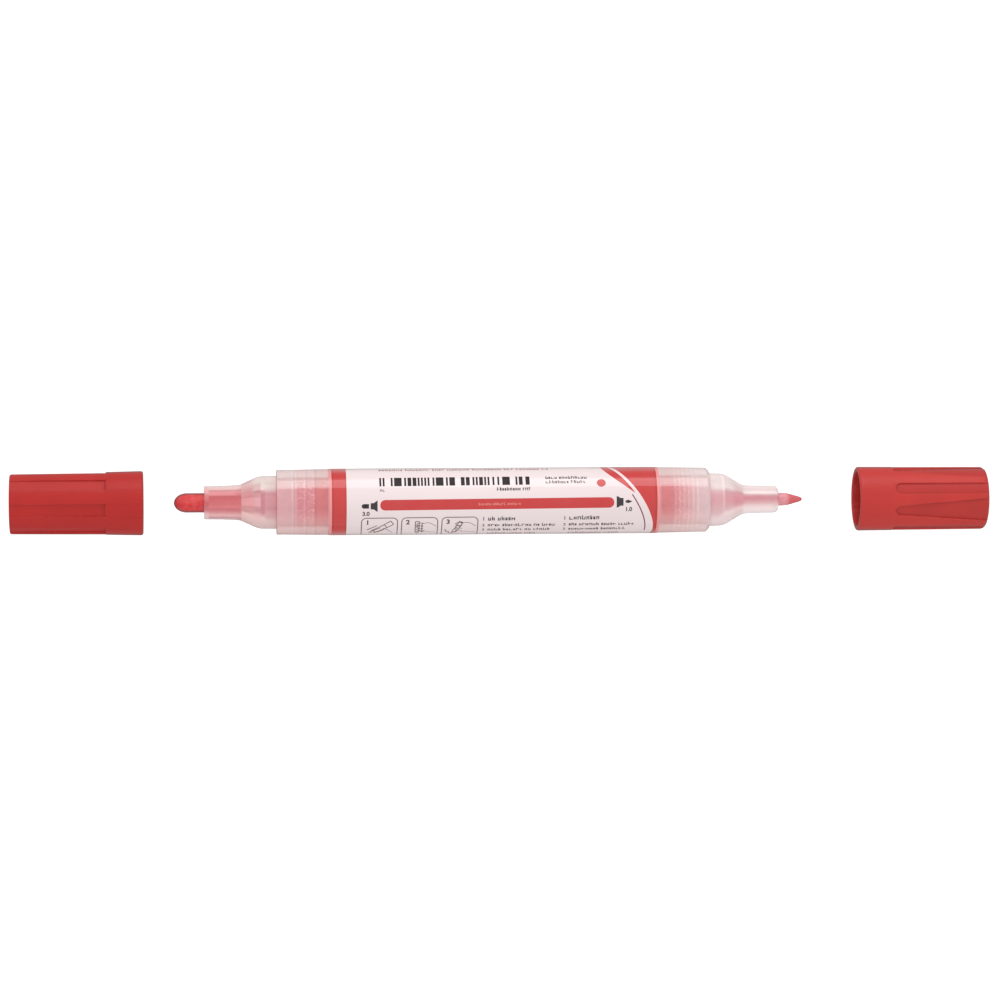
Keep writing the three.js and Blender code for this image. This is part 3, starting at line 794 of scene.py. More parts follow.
def build_noses():
    tip, bore, chamber = 61.3, 2.13, 2.35
    outside = [(49.2, 5.58, 0.3), (49.9, 5.44, 0.4), (50.6, 5.2, 0.5), (53.2, 4.0, 0.5)]
    outside += [(53.7, 3.8, 0.4), (54.4, 3.7, 0.5), (57.5, 3.55), (tip, 3.52, 0.22)]
    inside = [(tip, bore, 0.08), (60.4, bore, 0.1), (60.2, chamber, 0.1), (53.3, chamber, 0.15)]
    inside += [(53.3, 1.15, 0.1), (51.6, 1.15, 0.3), (50.15, 2.2, 0.1)]
    build_nose(BULLET, BULLET_WALL, BULLET_GROOVES, 5.62, outside, inside)
    tip, bore, channel = 60.97, 1.48, 1.05
    outside = [(48.4, 5.58, 0.3), (49.3, 5.42, 0.4), (50.1, 5.06, 0.5), (52.9, 3.4, 0.4)]
    outside += [(53.4, 3.14, 0.3), (54.2, 3.0, 0.4), (60.5, 2.85, 0.3), (tip, 2.35, 0.15)]
    inside = [(tip, bore, 0.1), (59.3, bore, 0.1), (59.3, channel, 0.08), (53.4, channel, 0.3)]
    inside += [(50.0, 1.9, 0.1)]
    build_nose(FINE, FINE_WALL, FINE_GROOVES, 5.66, outside, inside)


def build_nose_seal():
    node = "bullet_nose_seal"
    shape = bmesh.new()
    low, high = node_span(node)
    at = BULLET * ((low + high) / 2 - MIDDLE)
    wire = (high - low) / 2
    middle_r = node_radius(node) - wire * 0.87
    rings = []
    for turn in turns(20):
        out = at + wire * math.cos(turn)
        r = min(middle_r + wire * math.sin(turn), BORE_R - 0.02)
        rings.append([shape.verts.new(place(BULLET, out, r, angle)) for angle in turns(SIDES)])
    grid_faces(shape, rings, True)
    finished("bullet_nose_ring", shape, SILICONE, "marker", slot="seal", stands_for=node)


# ---- Valves ----


def head_back(side):
    return SEAT_BACK[side] - TOUCH - HEAD


def build_valves():
    for side in (BULLET, FINE):
        name = SIDE_NAME[side]
        back, front = SEAT_BACK[side], SEAT_FRONT[side] - TOUCH
        ring = [(back, SEAT_HOLE_R, 0.12), (back, SEAT_R, 0.1)]
        ring += [(front, SEAT_R, 0.1), (front, SEAT_HOLE_R, 0.12)]
        seat = {"slot": "seal", "stands_for": f"{name}_valve_seat", "sides": 64}
        turned(f"{name}_seat_ring", ring, side, SILICONE, "marker", **seat)
        rear = head_back(side)
        front = out_of(f"{name}_nib", side, False) - TOUCH
        stem = [(rear - TAIL, 0), (rear - TAIL, TAIL_R, 0.2), (rear, TAIL_R, 0.1)]
        stem += [(rear, HEAD_R, 0.15), (rear + HEAD, HEAD_R, 0.2), (rear + HEAD, STEM_R, 0.1)]
        stem += [(front, STEM_R, 0.1), (front, 0)]
        valve = {"slot": "valve", "stands_for": f"{name}_valve_stem", "sides": 64}
        turned(f"{name}_stem", stem, side, ACETAL, f"{name}_nib_unit", **valve)
        build_cage(side)
        build_spring(side)


def build_cage(side):
    """The spring's cage: a flanged cup with four square inlets through its floor."""
    name = SIDE_NAME[side]
    front = SEAT_BACK[side] - TOUCH
    flange = CAGE_BACK + CAGE_FLANGE
    profile = [(CAGE_BACK, 0), (CAGE_BACK, CAGE_FLANGE_R, 0.12), (flange, CAGE_FLANGE_R, 0.12)]
    profile += [(flange, CAGE_R, 0.2), (front, CAGE_R, 0.1), (front, CAGE_BORE_R, 0.15)]
    profile += [(CAGE_FLOOR, CAGE_BORE_R, 0.2), (CAGE_FLOOR, 0)]
    cup = lathe(profile, side, 64)
    bmesh.ops.recalc_face_normals(cup, faces=cup.faces)
    whole = in_scene("cup", mesh_of("cup", cup))
    inlets = bmesh.new()
    at = Matrix.Translation(Vector((MIDDLE + side * CAGE_BACK, 0, 0)) * MM)
    aside = Matrix.Translation((0, 0, INLET_AT * MM))
    size = Matrix.Diagonal(Vector((4 * MM, INLET * MM, INLET * MM, 1)))
    for k in range(4):
        turn = Matrix.Rotation(math.pi / 2 * k, 4, "X")
        bmesh.ops.create_cube(inlets, size=1, matrix=at @ turn @ aside @ size)
    cutter = in_scene("inlets", mesh_of("inlets", inlets))
    cut = whole.modifiers.new("inlets", "BOOLEAN")
    cut.operation = "DIFFERENCE"
    cut.object = cutter
    cut.solver = "EXACT"
    shape = bmesh.new()
    shape.from_object(whole, bpy.context.evaluated_depsgraph_get())
    for temporary in (whole, cutter):
        bpy.data.objects.remove(temporary)
    cage = f"{name}_spring_cage"
    finished(f"{name}_cage", shape, ACETAL, "marker", slot="valve", stands_for=cage)


def build_spring(side):
    """A compression spring with closed end coils."""
    name = SIDE_NAME[side]
    start = CAGE_FLOOR + WIRE_R + 0.04
    finish = head_back(side) - WIRE_R - 0.04
    steps = SPRING_TURNS * 32
    closed = 1 / SPRING_TURNS  # share of the wire in each flat end coil
    coil = 2.3 * WIRE_R  # rise of a flat coil
    shape = bmesh.new()
    rings = []
    for k in range(steps + 1):
        share = k / steps
        if share < closed:
            out = start + coil * share / closed
        elif share > 1 - closed:
            out = finish - coil * (1 - share) / closed
        else:
            out = start + coil + (finish - start - 2 * coil) * (share - closed) / (1 - 2 * closed)
        angle = 2 * math.pi * SPRING_TURNS * share
        ring = []
        for turn in turns(10):
            at = place(side, out + WIRE_R * math.sin(turn), SPRING_R + WIRE_R * math.cos(turn), angle)
            ring.append(shape.verts.new(at))
        rings.append(ring)
    grid_faces(shape, rings, False)
    shape.faces.new(rings[0])
    shape.faces.new(rings[-1])
    whole = {"slot": "spring", "stands_for": f"{name}_valve_spring", "crease": 50}
    spring = finished(f"{name}_spring", shape, SPRING_STEEL, "marker", **whole)
    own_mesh(spring)


# ---- Nibs ----


def build_bullet_nib():
    node = "bullet_nib"
    tip = out_of(node, BULLET, True)
    rear = out_of(node, BULLET, False)
    r = node_radius(node)
    dome = 2.7
    steps = 26
    profile = [(rear, 0), (rear, r, 0.15)]
    for k in range(steps + 1):
        turn = math.pi / 2 * k / steps
        profile.append((tip - dome + dome * math.sin(turn), r * math.cos(turn) if k < steps else 0))

    def fibres(out, radius, angle):
        wave = math.sin(angle * 23 + 1.3) * math.sin(angle * 9 + out * 0.4)
        return 0.012 * wave * min(1.0, radius / r)

    whole = {"slot": "nib", "stands_for": node, "warp": fibres, "crease": 60}
    turned("bullet_nib_felt", profile, BULLET, FELT, "bullet_nib_unit", **whole)


def build_fine_nib():
    node = "fine_nib"
    tip = out_of(node, FINE, True)
    rear = out_of(node, FINE, False)
    head = node_radius(node)
    shaft, head_from = 0.92, 61.05
    profile = [(rear, 0), (rear, shaft, 0.1), (head_from, shaft, 0.05), (head_from, head, 0.12)]
    profile += [(62.5, head - 0.05, 0.3), (63.1, 1.27, 0.4), (65.8, 0.5, 0.25), (66.1, 0.32, 0.15)]
    profile += [(tip, 0.12, 0.1), (tip, 0)]

    def flutes(out, _, angle):
        if out > 63.0 or out < 61.0:
            return 0
        return -0.02 * (0.5 + 0.5 * math.cos(angle * 12)) * min(1.0, (63.0 - out) * 2)

    whole = {"slot": "fine_nib", "stands_for": node, "warp": flutes, "sides": 96, "crease": 50}
    turned("fine_nib_point", profile, FINE, FINE_NIB, "fine_nib_unit", **whole)


# ---- Caps ----


class Groove:
    """A groove down a cap, centred at `degrees` from the top, positive towards -Y. It is `first`
    wide at the mouth's end and `last` wide at the other, and a flat floor is a flute's."""

    def __init__(self, degrees, first, last, floor, flat=False):
        self.angle = math.radians(degrees)
        self.first = first
        self.last = last
        self.floor = floor
        self.flat = flat

    def half(self, along, length):
        """Half the width, which starts as a half circle where the floor is round."""
        half = (self.first + (self.last - self.first) * along / length) / 2
        nose = self.first / 2
        if not self.flat and along < nose:
            half = min(half, math.sqrt(max(0.02, nose**2 - (nose - along) ** 2)))
        return half

    def floor_height(self, lateral):
        return self.floor if self.flat else math.sqrt(self.floor**2 - lateral**2)


# (distance out from the groove's wall, share of its depth) across a wall with soft corners
WALL = [(0.16, 0.0), (0.07, 0.035), (0.015, 0.2), (-0.015, 0.8), (-0.06, 0.96), (-0.14, 1.0)]
FLOOR_STEPS = (-0.8, -0.5, -0.2, 0.2, 0.5, 0.8)
LAND_STEPS = 5


def cap_section(grooves, along, length, land_r, depth):
    """One turn round a cap as (angle, radius) pairs, angles rising towards -Y."""
    parts = []
    for groove in grooves:
        half = groove.half(along, length)
        across = [(-half - out, share) for out, share in WALL]
        across += [((half + WALL[-1][0]) * step, 1.0) for step in FLOOR_STEPS]
        across += [(half + out, share) for out, share in reversed(WALL)]
        points = []
        for lateral, share in across:
            land = math.sqrt(land_r**2 - lateral**2)
            height = land - share * depth * max(0.0, land - groove.floor_height(lateral))
            points.append((groove.angle + math.atan2(lateral, height), math.hypot(lateral, height)))
        parts.append(points)
    section = []
    for k, points in enumerate(parts):
        section += points
        start = points[-1][0]
        end = parts[(k + 1) % len(parts)][0][0] + (2 * math.pi if k == len(parts) - 1 else 0)
        for step in range(1, LAND_STEPS + 1):
            section.append((start + (end - start) * step / (LAND_STEPS + 1), land_r))
    return section


INNER_R = 5.0  # of a cap, past the mouth's wider bore
END_WALL = 1.6


def build_cap(side, grooves, ring, lip_r, ring_r, front_r, back_r, bore, end_round):
    """A cap from the inside of its closed end round the mouth and along the outside. `ring` is the
    length of the plain ring at the mouth, and front_r and back_r are the radii of its body."""
    node = f"{SIDE_NAME[side]}_cap"
    mouth = out_of(node, side, False)
    closed = out_of(node, side, True)
    ring_end = mouth + ring
    length = closed - ring_end
    wall_end = closed - END_WALL
    angles = [angle for angle, _ in cap_section(grooves, 0.6, length, front_r, 1.0)]
    shape = bmesh.new()
    rings = []

    def loop(out, section, limit=math.inf):
        rings.append([shape.verts.new(place(side, out, min(r, limit), -angle)) for angle, r in section])

    def circle(out, r):
        loop(out, [(angle, r) for angle in angles])

    def pole(out):
        rings.append([shape.verts.new(place(side, out, 0, 0))])

    # Inside, from the closed wall to the mouth, and round the lip.
    pole(wall_end)
    circle(wall_end, 2.0)
    for back, drop in ((0.0, 0.5), (0.12, 0.12), (0.5, 0.0)):
        circle(wall_end - back, INNER_R - drop)
    for deep, rise in ((14.0, 0.0), (6.7, 0.0), (6.5, 0.04)):
        circle(mouth + deep, INNER_R + rise)
    bore_edge = ((6.1, -0.05), (5.9, 0), (2.0, 0), (0.35, 0.02), (0.1, 0.09), (0.02, 0.2), (0, 0.34))
    for deep, rise in bore_edge:
        circle(mouth + deep, bore + rise)
    for deep, drop in ((0.0, 0.42), (0.05, 0.25), (0.16, 0.1), (0.3, 0.03), (0.45, 0.0)):
        circle(mouth + deep, lip_r - drop)
    circle(mouth + 2.5, lip_r + (ring_r - lip_r) * 0.3)
    circle(ring_end - 1.0, ring_r + (lip_r - ring_r) * 0.1)

    # The ring's step and the grooved body.
    circle(ring_end - 0.18, ring_r)
    circle(ring_end - 0.06, ring_r - 0.02)
    stations = [(0.0, 0.25), (0.03, 0.7), (0.08, 0.93)]
    stations += [(along, 1.0) for along in (0.16, 0.3, 0.5, 0.75, 1.0, 1.3, 2.0)]
    steps = 14
    for k in range(1, steps + 1):
        stations.append((2.0 + (length - 2.0 - end_round - 0.05) * k / steps, 1.0))
    for along, depth in stations:
        share = along / length
        land_r = front_r + (back_r - front_r) * share
        if depth < 1:
            land_r = max(land_r, ring_r - 0.02 - depth * 0.08)
        loop(ring_end + along, cap_section(grooves, along, length, land_r, depth))

    # The rounded end and its slightly sunk face.
    arc_steps = 7
    for k in range(1, arc_steps + 1):
        turn = math.pi / 2 * k / arc_steps
        limit = back_r - end_round + end_round * math.cos(turn)
        along = length - end_round + end_round * math.sin(turn)
        loop(ring_end + along, cap_section(grooves, along, length, back_r, 1.0), limit)
    rim = back_r - end_round
    for r, sink in ((rim - 0.5, 0.0), (rim - 1.2, 0.02), (rim * 0.5, 0.04), (rim * 0.2, 0.05)):
        circle(closed - sink, r)
    pole(closed - 0.05)
    grid_faces(shape, rings, False)
    finished(node + "_shell", shape, CAP_RED[side], node, slot="cap", stands_for=node, crease=40)


def build_liner(side, start, bore_r, bead_at, bead_r, tip_r, tip_start, end):
    """A soft cup inside a cap, with a bead that grips the nose. Places are from the cap's mouth."""
    name = SIDE_NAME[side]
    node = f"{name}_cap_liner"
    mouth = out_of(f"{name}_cap", side, False)
    back = out_of(node, side, True)
    r = node_radius(node)
    start, bead_at, tip_start, end = (mouth + at for at in (start, bead_at, tip_start, end))
    profile = [(start, bore_r, 0.25), (start, r, 0.15), (back, r, 0.3), (back, 0)]
    profile += [(end, 0), (end, tip_r, 0.5), (tip_start, tip_r, 0.3), (tip_start, bore_r, 0.3)]
    profile += [(bead_at + 0.5, bore_r, 0.3), (bead_at, bead_r, 0.4), (bead_at - 0.5, bore_r, 0.3)]
    whole = {"slot": "liner", "stands_for": node, "sides": 96}
    turned(f"{name}_liner", profile, side, LINER_RED, f"{name}_cap", **whole)


FLUTES = 7
FLUTE_WIDTH = 2.7
GROOVE_PAIRS = 4
GROOVE_WIDTH = 2.4
WEDGE_WIDTHS = (2.0, 5.3)


def build_caps():
    flutes = []
    for k in range(FLUTES):
        flutes.append(Groove(14.0 + 360 / FLUTES * k, FLUTE_WIDTH, FLUTE_WIDTH, 6.0, flat=True))
    radii = {"lip_r": 6.8, "ring_r": 6.64, "front_r": 6.56, "back_r": 6.4, "bore": 5.72}
    build_cap(BULLET, flutes, 7.9, end_round=0.4, **radii)
    build_liner(
        BULLET, start=8.7, bore_r=3.88, bead_at=12.6, bead_r=3.64, tip_r=2.7, tip_start=16.3, end=25.0,
    )
    grooves = []
    for k in range(GROOVE_PAIRS):
        quarter = 360 / GROOVE_PAIRS * k
        grooves.append(Groove(-19 + quarter, GROOVE_WIDTH, GROOVE_WIDTH, 6.3))
        grooves.append(Groove(23.7 + quarter, *WEDGE_WIDTHS, 6.3))
    radii = {"lip_r": 6.82, "ring_r": 6.77, "front_r": 6.73, "back_r": 6.63, "bore": 5.76}
    build_cap(FINE, grooves, 7.6, end_round=1.1, **radii)
    build_liner(
        FINE, start=8.3, bore_r=3.22, bead_at=11.8, bead_r=3.04, tip_r=2.0, tip_start=15.9, end=23.6,
    )


# ---- Mixing ball ----


def build_ball():
    node = "mixing_ball"
    low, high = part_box(node)
    shape = bmesh.new()
    bmesh.ops.create_uvsphere(shape, u_segments=64, v_segments=32, radius=(high.x - low.x) / 2)
    bmesh.ops.translate(shape, verts=shape.verts, vec=(low + high) / 2)
    finished("ball", shape, BALL_STEEL, node, slot="ball", stands_for=node, crease=180)


# ---- Label film and its print ----

FILM_R = BARREL_R + FILM_AIR + FILM
GIRTH = 2 * math.pi * FILM_R
WRAP_STEP = 0.25  # width of the flat facets that the print bends in


def film_r(out):
    return barrel_r(out) + FILM_AIR + FILM


def build_film():
    def lap(out, radius, angle):
        """The outer end of the film lies on the inner one along the seam on the -Z side."""
        past = (angle - math.pi) * FILM_R
        if radius < film_r(out) - FILM * 0.5 or past >= 0:
            return 0
        return SEAM_STEP * max(0.0, 1 - abs(past) / SEAM_LAP)

    stations = [-LABEL_HALF, -STRAIGHT, STRAIGHT, LABEL_HALF]
    outer = [(x, film_r(x), 0.02) for x in stations]
    inner = [(x, film_r(x) - FILM) for x in reversed(stations)]
    whole = {"slot": "label", "stands_for": "label_sleeve", "sides": 256, "warp": lap}
    turned("label_film", outer + inner, 1, FILM_WHITE, "marker", **whole)


def smooth_path(points, steps=10):
    """A curve through the points."""
    ends = [points[0]] + list(points) + [points[-1]]
    path = []
    for i in range(1, len(ends) - 2):
        p0, p1, p2, p3 = (Vector(ends[i + k]) for k in (-1, 0, 1, 2))
        for k in range(steps):
            t = k / steps
            bend = (2 * p0 - 5 * p1 + 4 * p2 - p3) * t * t
            path.append(0.5 * (2 * p1 + (p2 - p0) * t + bend + (3 * p1 - p0 - 3 * p2 + p3) * t**3))
    path.append(Vector(points[-1]))
    return path


class Print:
    """Flat shapes in one ink, drawn as (out, up the wall) in millimetres and wrapped onto the film."""

    def __init__(self):
        self.shape = bmesh.new()

    def polygon(self, points):
        face = self.shape.faces.new([self.shape.verts.new((p[0], p[1], 0)) for p in points])
        bmesh.ops.triangulate(self.shape, faces=[face])

    def rect(self, x0, s0, x1, s1):
        self.polygon([(x0, s0), (x1, s0), (x1, s1), (x0, s1)])

    def rounded_rect(self, x0, s0, x1, s1, radius):
        self.polygon(rect_outline(x0, s0, x1, s1, radius))

    def frame(self, x0, s0, x1, s1, radius, line):
        """The outline of a rounded box."""
        outer = rect_outline(x0, s0, x1, s1, radius)
        inner = rect_outline(x0 + line, s0 + line, x1 - line, s1 - line, radius - line)
        self.band(outer + outer[:1], inner + inner[:1])

    def band(self, first, second):
        """Quads between two lines of equally many points."""
        for i in range(len(first) - 1):
            self.polygon([first[i], first[i + 1], second[i + 1], second[i]])

    def stroke(self, points, width, end_width=None):
        """A line of some width through the points."""
        end_width = width if end_width is None else end_width
        first, second = [], []
        for i, point in enumerate(points):
            at = Vector(point)
            ahead = Vector(points[min(i + 1, len(points) - 1)]) - Vector(points[max(i - 1, 0)])
            share = i / max(1, len(points) - 1)
            across = ahead.normalized().orthogonal() * (width + (end_width - width) * share) / 2
            first.append(at + across)
            second.append(at - across)
        self.band(first, second)

    def curve(self, points, width):
        self.stroke(smooth_path(points), width)

    def text(self, words, x, s, height):
        """Figures, centred on (x, s)."""
        curve = bpy.data.curves.new("figures", "FONT")
        curve.body = words
        curve.size = height / 0.7
        curve.align_x = curve.align_y = "CENTER"
        curve.resolution_u = 4
        curve.offset = 0.045 * height
        made = bpy.data.objects.new("figures", curve)
        mesh = bpy.data.meshes.new_from_object(made)
        mesh.transform(Matrix.Translation((x, s, 0)))
        self.shape.from_mesh(mesh)
        bpy.data.objects.remove(made)

    def words(self, x0, x1, s, height, dice, weight=1.0):
        """A line of make-believe small print: groups of upright strokes joined by short bars."""
        x = x0
        stroke = height * 0.2 * weight
        while x < x1 - height:
            for _ in range(dice.randint(2, 9)):
                wide = height * dice.choice((0.45, 0.6, 0.6, 0.75))
                tall = height * dice.choice((0.72, 0.72, 0.72, 1.0))
                if x + wide > x1:
                    return
                self.rect(x, s, x + stroke, s + tall)
                if dice.random() < 0.75:
                    self.rect(x + wide - stroke, s, x + wide, s + height * 0.72)
                level = dice.choice((0.0, 0.3, 0.56))
                self.rect(x, s + height * level, x + wide, s + height * level + stroke)
                x += wide + height * 0.2
            x += height * 0.45

    def wrap(self, name, material, lift=0.0):
        """Bends the flat shapes round the barrel as a thin layer and makes them a piece."""
        shape = self.shape
        lines = [(0, -GIRTH / 2 + WRAP_STEP * k, 0) for k in range(round(GIRTH / WRAP_STEP) + 1)]
        cuts = [(line, (0, 1, 0)) for line in lines]
        cuts += [((at, 0, 0), (1, 0, 0)) for at in (-STRAIGHT, STRAIGHT)]
        for at, across in cuts:
            everything = shape.verts[:] + shape.edges[:] + shape.faces[:]
            bmesh.ops.bisect_plane(shape, geom=everything, plane_co=at, plane_no=across, dist=1e-5)
        bmesh.ops.remove_doubles(shape, verts=shape.verts, dist=1e-4)
        base = shape.faces[:]
        for face in base:
            if face.normal.z < 0:
                face.normal_flip()
        grown = bmesh.ops.extrude_face_region(shape, geom=base)
        for item in grown["geom"]:
            if isinstance(item, bmesh.types.BMVert):
                item.co.z += PRINT
        for vert in shape.verts:
            out, wall, height = vert.co
            if abs(wall) < GIRTH / 4 + 3:
                wall += PRINT_SKEW * (out - SKEW_FROM)
            r = film_r(out) + lift + height - PRINT * 0.25
            vert.co = place(1, out, r, wall / FILM_R)
        return finished(name, shape, material, "marker", slot="label", crease=30)


def rect_outline(x0, s0, x1, s1, radius):
    """A rectangle with rounded corners."""
    points = []
    corner_steps = 6
    for x, s, quarter in ((x1, s1, 0), (x0, s1, 1), (x0, s0, 2), (x1, s0, 3)):
        cx = x - radius if x == x1 else x + radius
        cs = s - radius if s == s1 else s + radius
        for k in range(corner_steps + 1):
            turn = math.pi / 2 * (quarter + k / corner_steps)
            points.append(Vector((cx + radius * math.cos(turn), cs + radius * math.sin(turn))))
    return points


MODULES = 95


def bar_code(layer, x0, x1, s0, s1, dice):
    """A made-up bar pattern: it encodes nothing."""
    module = (x1 - x0) / MODULES
    x = x0
    while x < x1 - module:
        wide = module * dice.choice((1, 1, 1, 1, 2, 3, 4))
        gap = module * dice.choice((1, 1, 1, 1, 2, 4))
        layer.rect(x, s0, min(x + wide * 1.2, x1), s1)
        x += wide * 1.1 + gap


def pictogram_marker(layer, x, s, turn, length):
    """Outline of a small marker, its tip at (x, s), lying at `turn` radians."""
    ahead = Vector((math.cos(turn), math.sin(turn)))
    side = Vector((-ahead.y, ahead.x))
    tip = Vector((x, s))
    half = length * 0.09
    rows = [(0.0, 0.0), (0.1, 0.035), (0.22, 0.09), (1.0, 0.09)]
    for sign in (1, -1):
        edge = [tip + ahead * length * a + side * sign * length * b for a, b in rows]
        layer.stroke(edge, 0.2)
    for share in (0.22, 0.72, 1.0):
        at = tip + ahead * length * share
        layer.stroke([at + side * half, at - side * half], 0.2)


def pictogram_hand(layer, x, s, reach):
    """A hand that comes in from the right: two arm lines and four curled fingers."""
    layer.curve([(x + 0.6, s + 1.5), (x + reach * 0.6, s + 1.7), (x + reach, s + 0.7)], 0.13)
    layer.curve([(x + 0.7, s - 1.5), (x + reach * 0.5, s - 1.3), (x + reach, s - 1.6)], 0.13)
    for k in range(4):
        at = s + 1.35 - 0.85 * k
        finger = [(x + 0.9, at + 0.3), (x, at + 0.35), (x - 0.5, at), (x - 0.1, at - 0.4)]
        layer.curve(finger, 0.17)


WAVE_MIDDLE = 28.6
WAVE_SWING = 5.1
WAVE_CREST = -7.0  # how far up the wall the wave is nearest to the fine end


def wave(s, shift=0.0):
    """Point of a plain wave with one period round the barrel."""
    turn = 2 * math.pi * (s - WAVE_CREST) / GIRTH
    return Vector((WAVE_MIDDLE + shift + WAVE_SWING * math.cos(turn), s))


def build_print():
    red, dark, bars, grey, pale, wine = (Print() for _ in range(6))
    dice = random.Random(7)
    left = -LABEL_HALF + FILM_EDGE
    right = LABEL_HALF - FILM_EDGE
    seam = GIRTH / 2 - 0.4

    # Red band round the bullet end.
    red.rect(left, -seam, left + BAND, seam)

    # Bar code over the top of the barrel, with a line of small print above it.
    bar_code(bars, -24.4, 7.4, 3.45, 5.65, dice)
    dark.words(-24.4, 11.9, 8.25, 0.95, dice, 1.1)
    dark.words(-24.3, -22.9, 2.25, 0.62, dice)
    dark.words(0.4, 7.5, 2.15, 0.78, dice, 1.1)
    dark.words(10.8, 19.8, 4.85, 0.8, dice, 1.1)
    grey.words(10.8, 19.8, 3.7, 0.8, dice, 1.2)

    # Long rounded bar between the two tip symbols.
    red.rounded_rect(-24.3, -1.8, 25.25, 0.45, 1.1)
    pale.words(-3.5, 5.6, -0.95, 0.6, dice)

    # Bullet tip symbol and its line width.
    dark.rounded_rect(-28.2, -1.33, -26.9, -0.37, 0.45)
    dark.rect(-27.6, -1.33, -26.65, -0.37)
    holder = [(-26.3, -1.5), (-25.6, -1.55), (-24.85, -2.1), (-24.85, 0.42), (-25.6, -0.15)]
    dark.polygon([*holder, (-26.3, -0.2)])
    dark.text("3.0", -27.3, -2.55, 0.9)

    # Fine tip symbol and its line width.
    holder = [(25.75, -1.78), (26.2, -1.7), (26.5, -1.4), (27.2, -1.4), (27.2, 0.25), (26.5, 0.25)]
    dark.polygon([*holder, (26.2, 0.55), (25.75, 0.65)])
    dark.polygon([(27.65, -0.72), (28.3, -0.86), (29.1, -0.5), (28.3, -0.16), (27.65, -0.28)])
    dark.text("1.0", 28.3, -2.2, 0.85)

    # Three boxes that show shaking, pressing and writing.
    top, foot = -3.42, -10.6
    for k, x in enumerate((-28.3, -19.8, -11.3)):
        grey.frame(x, foot, x + 7.8, top, 1.1, 0.2)
        dark.text(str(k + 1), x + 1.4, top - 1.3, 1.15)
    pictogram_marker(grey, -26.6, -8.2, 0.62, 6.0)
    for shift in (0.0, 0.75, 1.5):
        drop = shift * 0.9
        grey.stroke([(-27.0 + shift, -6.9 - drop), (-24.9 + shift, -5.5 - drop)], 0.28, 0.16)
    grey.curve([(-23.6, -6.4), (-22.6, -7.0), (-21.6, -8.2)], 0.15)
    pictogram_marker(grey, -16.4, -8.9, 1.57, 4.4)
    pictogram_hand(grey, -16.0, -6.6, 3.6)
    grey.stroke([(-15.4, -5.2), (-15.4, -8.0)], 0.22)
    grey.stroke([(-16.0, -7.2), (-15.4, -8.1), (-14.8, -7.2)], 0.2)
    pictogram_marker(grey, -9.0, -8.9, 1.15, 4.6)
    pictogram_hand(grey, -7.8, -6.6, 3.8)
    wavy = [(-10.5, -7.0), (-10.2, -8.0), (-9.8, -7.9), (-9.6, -8.6), (-9.0, -8.9)]
    dark.curve(wavy, 0.22)

    # Two columns of instructions.
    for x0, x1 in ((-1.45, 13.3), (15.75, 30.3)):
        rows = ((-4.45, 1.0, 0.46), (-6.1, 0.85, 0.98), (-7.65, 0.9, 0.9), (-9.6, 1.0, 0.75))
        for number, (s, height, share) in enumerate(rows):
            dark.words(x0, x0 + (x1 - x0) * share, s, height, dice, 1.05)
            if number < 3:
                grey.text(str(number + 1), x0 - 0.95, s + height * 0.4, height * 0.85)

    # Red field at the fine end behind a plain wave, a strip and a thin line along it, and a spot.
    field = [wave(-seam + 2 * seam * k / 60) for k in range(61)]
    red.band(field, [Vector((right, p.y)) for p in field])
    strip = [wave(1.4 + 10.6 * k / 16, -0.8) for k in range(17)]
    widths = [0.15 + 2.0 * math.sin(math.pi * k / 16) for k in range(17)]
    red.band(strip, [p - Vector((width, 0)) for p, width in zip(strip, widths)])
    wine.stroke([wave(1.0 - 9.2 * k / 14, -1.7) for k in range(15)], 0.24)
    red.polygon([Vector((22.6, 3.7)) + Vector((math.cos(a), math.sin(a))) * 0.95 for a in turns(24)])

    # Small print on the far side of the barrel.
    for x0, x1 in ((-24.0, -6.5), (-4.0, 13.5)):
        for k in range(8):
            share = 0.6 if k in (3, 7) else 1.0
            grey.words(x0, x0 + (x1 - x0) * share, 19.6 - k * 1.15, 0.6, dice, 1.1)
    for k in range(5):
        grey.words(-24.0, 2.0 if k < 4 else -12.0, -13.2 - k * 1.15, 0.6, dice, 1.1)
    grey.frame(15.6, -19.6, 28.8, -12.4, 0.6, 0.13)
    for k in range(1, 5):
        grey.stroke([(15.7, -12.4 - k * 1.44), (28.7, -12.4 - k * 1.44)], 0.1)
        grey.words(16.2, 22.0 + k, -12.2 - k * 1.44, 0.55, dice)

    red.wrap("label_print_red", INK_RED)
    dark.wrap("label_print_dark", INK_DARK)
    bars.wrap("label_print_bars", INK_BARS)
    grey.wrap("label_print_grey", INK_GREY)
    wine.wrap("label_print_wine", INK_WINE)
    pale.wrap("label_print_pale", INK_PALE, lift=PRINT)


# ---- Floor, light and camera ----

WORLD_LIGHT = 0.92
WORLD_TILT = 0.09  # how much more light comes from +Y than from straight up
FLOOR_M = 6.0
FLOOR_GAP = 0.05
FLOOR_SEEN = 0.9
FLOOR_LIGHT = 0.45
FLOOR_MIRRORED = 0.12  # darker where only its reflection is seen
STRIP_RADIANCE = 2.0
STRIP_AWAY_M = 0.8
STRIP_TILT = math.radians(66)  # from straight up, towards +Y
STRIP_SPAN = math.radians(33)
STRIP_LENGTH_M = 0.42
STRIP_MIDDLE_M = 0.075
BOUNCES = 24  # light has many clear walls to cross before it reaches the valves


